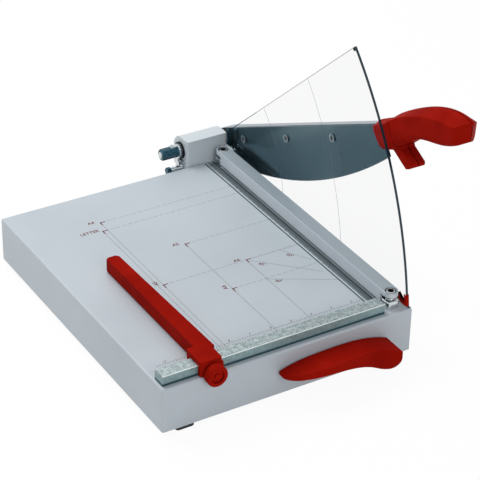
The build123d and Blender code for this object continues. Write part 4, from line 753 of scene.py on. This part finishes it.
def rings(name, centres, normal, radii, material, body):
    """Flat rings, such as painted shade on the floor of a counterbore or a painted highlight on the rim of a
    head.
    """
    points = []
    faces = []
    for centre in centres:
        inner = len(points)
        outer = inner + RING_SIDES
        for radius in radii:
            points += on_head(centre, normal, radius, RING_SIDES)
        for k in range(RING_SIDES):
            before = (k - 1) % RING_SIDES
            faces.append((inner + before, outer + before, outer + k, inner + k))
    piece(name, flat_mesh(name, points, faces, material), body)


def ends_of(node, axis):
    """Centres in mm of the outermost faces, along an axis, of a node's separate solids."""
    shape = bmesh.new()
    shape.from_mesh(nodes[node].data)
    waiting = set(shape.verts)
    found = []
    while waiting:
        queue = [waiting.pop()]
        solid = []
        while queue:
            vert = queue.pop()
            solid.append(vert.co / MM)
            for edge in vert.link_edges:
                other = edge.other_vert(vert)
                if other in waiting:
                    waiting.remove(other)
                    queue.append(other)
        reach = max(point.dot(axis) for point in solid)
        rim = [point for point in solid if point.dot(axis) > reach - RIM_DEPTH]
        low, high = (Vector([pick(point[i] for point in rim) for i in range(3)]) for pick in (min, max))
        found.append(((low + high) / 2, reach))
    shape.free()
    outermost = max(reach for _, reach in found)
    return [centre for centre, reach in found if reach > outermost - SAME_LEVEL]


# Painted shade for the recesses of sockets and counterbores.
painted_recess_shade = flat_colour("painted_recess_shade", "11171B")
post_heads = ends_of("clamp_posts", UP)
blade_heads = ends_of("blade_screws", LEFT)
grip_heads = ends_of("handle_screws", RIGHT)
hex_sockets("post_sockets", post_heads, UP, POST_SOCKET, "clamp")
post_seats = [centre - UP * POST_SEAT_DEPTH for centre in post_heads]
rings("post_seats", post_seats, UP, POST_SEAT, painted_recess_shade, "clamp")
# Painted highlights on the rims of the blade screws.
rings("blade_rims", blade_heads, LEFT, BLADE_RIM, painted_highlight, "arm")
hex_sockets("blade_sockets", blade_heads, LEFT, BLADE_SOCKET, "arm")
hex_sockets("grip_sockets", grip_heads, RIGHT, GRIP_SOCKET, "arm")

# ---------------------------------------------------------------- floor, light and camera
FLOOR_HALF = 6000.0         # mm
FLOOR_DROP = 0.2            # mm below the feet
FLOOR_GLOW = 0.94           # how much of the floor's shadows the backdrop's white hides
SKY_COLOUR = (0.93, 0.96, 1.0, 1.0)
SKY_STRENGTH = 0.44
LAMP_SIZE = (1.2, 1.0)      # metres

# Name, place and aim in metres, and power in watts.
LAMPS = (
    ("overhead", (-0.45, 1.0, 1.4), (-0.15, 0.2, 0.0), 20.5),
    ("front", (-0.3, -1.9, 1.1), (-0.1, 0.1, 0.0), 13.2),
)

# The camera looks from front left and above at a point on the table, a little tilted.
AZIMUTH = radians(-31.4)
ELEVATION = radians(31.7)
ROLL = radians(1.2)
DISTANCE = 2.2067           # metres
AIM = Vector((-0.0897, 0.1875, 0.0))
SENSOR = 36.0               # mm
LENS = 146.7375             # mm


def seen_rays(tree):
    """1 for the camera's rays, also through clear sheet and off shiny faces, and 0 for scattered light."""
    path = add_node(tree, "LightPath")
    seen = path["Is Camera Ray"]
    for other in ("Is Transmission Ray", "Is Glossy Ray"):
        seen = add_node(tree, "Math", {0: seen, 1: path[other]}, operation="MAXIMUM")[0]
    return seen


def floor():
    """A matt white ground that keeps a soft trace of shadow."""
    material = new_finish("studio_floor")
    tree = material.node_tree
    share = add_node(tree, "Math", {0: seen_rays(tree), 1: FLOOR_GLOW}, operation="MULTIPLY")[0]
    matt = add_node(tree, "BsdfPrincipled", {"Base Color": linear("F9F9F9"), "Roughness": 0.9})[0]
    glow = add_node(tree, "Emission", {"Color": WHITE, "Strength": 1.0})[0]
    both = add_node(tree, "MixShader", {0: share, 1: matt, 2: glow})[0]
    add_node(tree, "OutputMaterial", {"Surface": both})
    ground = cad_box[0][2] / MM - FLOOR_DROP
    points = [(x * FLOOR_HALF, y * FLOOR_HALF, ground) for x, y in ((-1, -1), (1, -1), (1, 1), (-1, 1))]
    made = put_in_scene("floor", flat_mesh("floor", points, [range(4)], material))


def studio():
    """A soft cool sky that looks plain white where it is seen, and two large lamps."""
    world = bpy.data.worlds.new("studio")
    bpy.context.scene.world = world
    world.use_nodes = True
    tree = world.node_tree
    tree.nodes.clear()
    soft = add_node(tree, "Background", {"Color": SKY_COLOUR, "Strength": SKY_STRENGTH})[0]
    white = add_node(tree, "Background", {"Color": WHITE, "Strength": 1.0})[0]
    both = add_node(tree, "MixShader", {0: seen_rays(tree), 1: soft, 2: white})[0]
    add_node(tree, "OutputWorld", {"Surface": both})
    for name, place, aim, power in LAMPS:
        lamp = bpy.data.lights.new(name, "AREA")
        lamp.energy = power
        lamp.shape = "RECTANGLE"
        lamp.size, lamp.size_y = LAMP_SIZE
        made = put_in_scene(name, lamp)
        made.location = place
        made.rotation_euler = (Vector(aim) - Vector(place)).to_track_quat("-Z", "Y").to_euler()


def camera():
    """A long lens, aimed at the middle of the trimmer."""
    back = Vector((sin(AZIMUTH) * cos(ELEVATION), -cos(AZIMUTH) * cos(ELEVATION), sin(ELEVATION)))
    level = (-back).cross(UP).normalized()
    upright = level.cross(-back).normalized()
    right = cos(ROLL) * level + sin(ROLL) * upright
    up = -sin(ROLL) * level + cos(ROLL) * upright
    lens = bpy.data.cameras.new("camera")
    lens.sensor_width = SENSOR
    lens.lens = LENS
    made = put_in_scene("camera", lens)
    columns = (right, up, back, AIM + back * DISTANCE)
    made.matrix_world = Matrix([[c[i] for c in columns] for i in range(3)] + [[0, 0, 0, 1]])
    bpy.context.scene.camera = made


floor()
studio()
camera()
scene = bpy.context.scene
scene.view_settings.view_transform = "Standard"
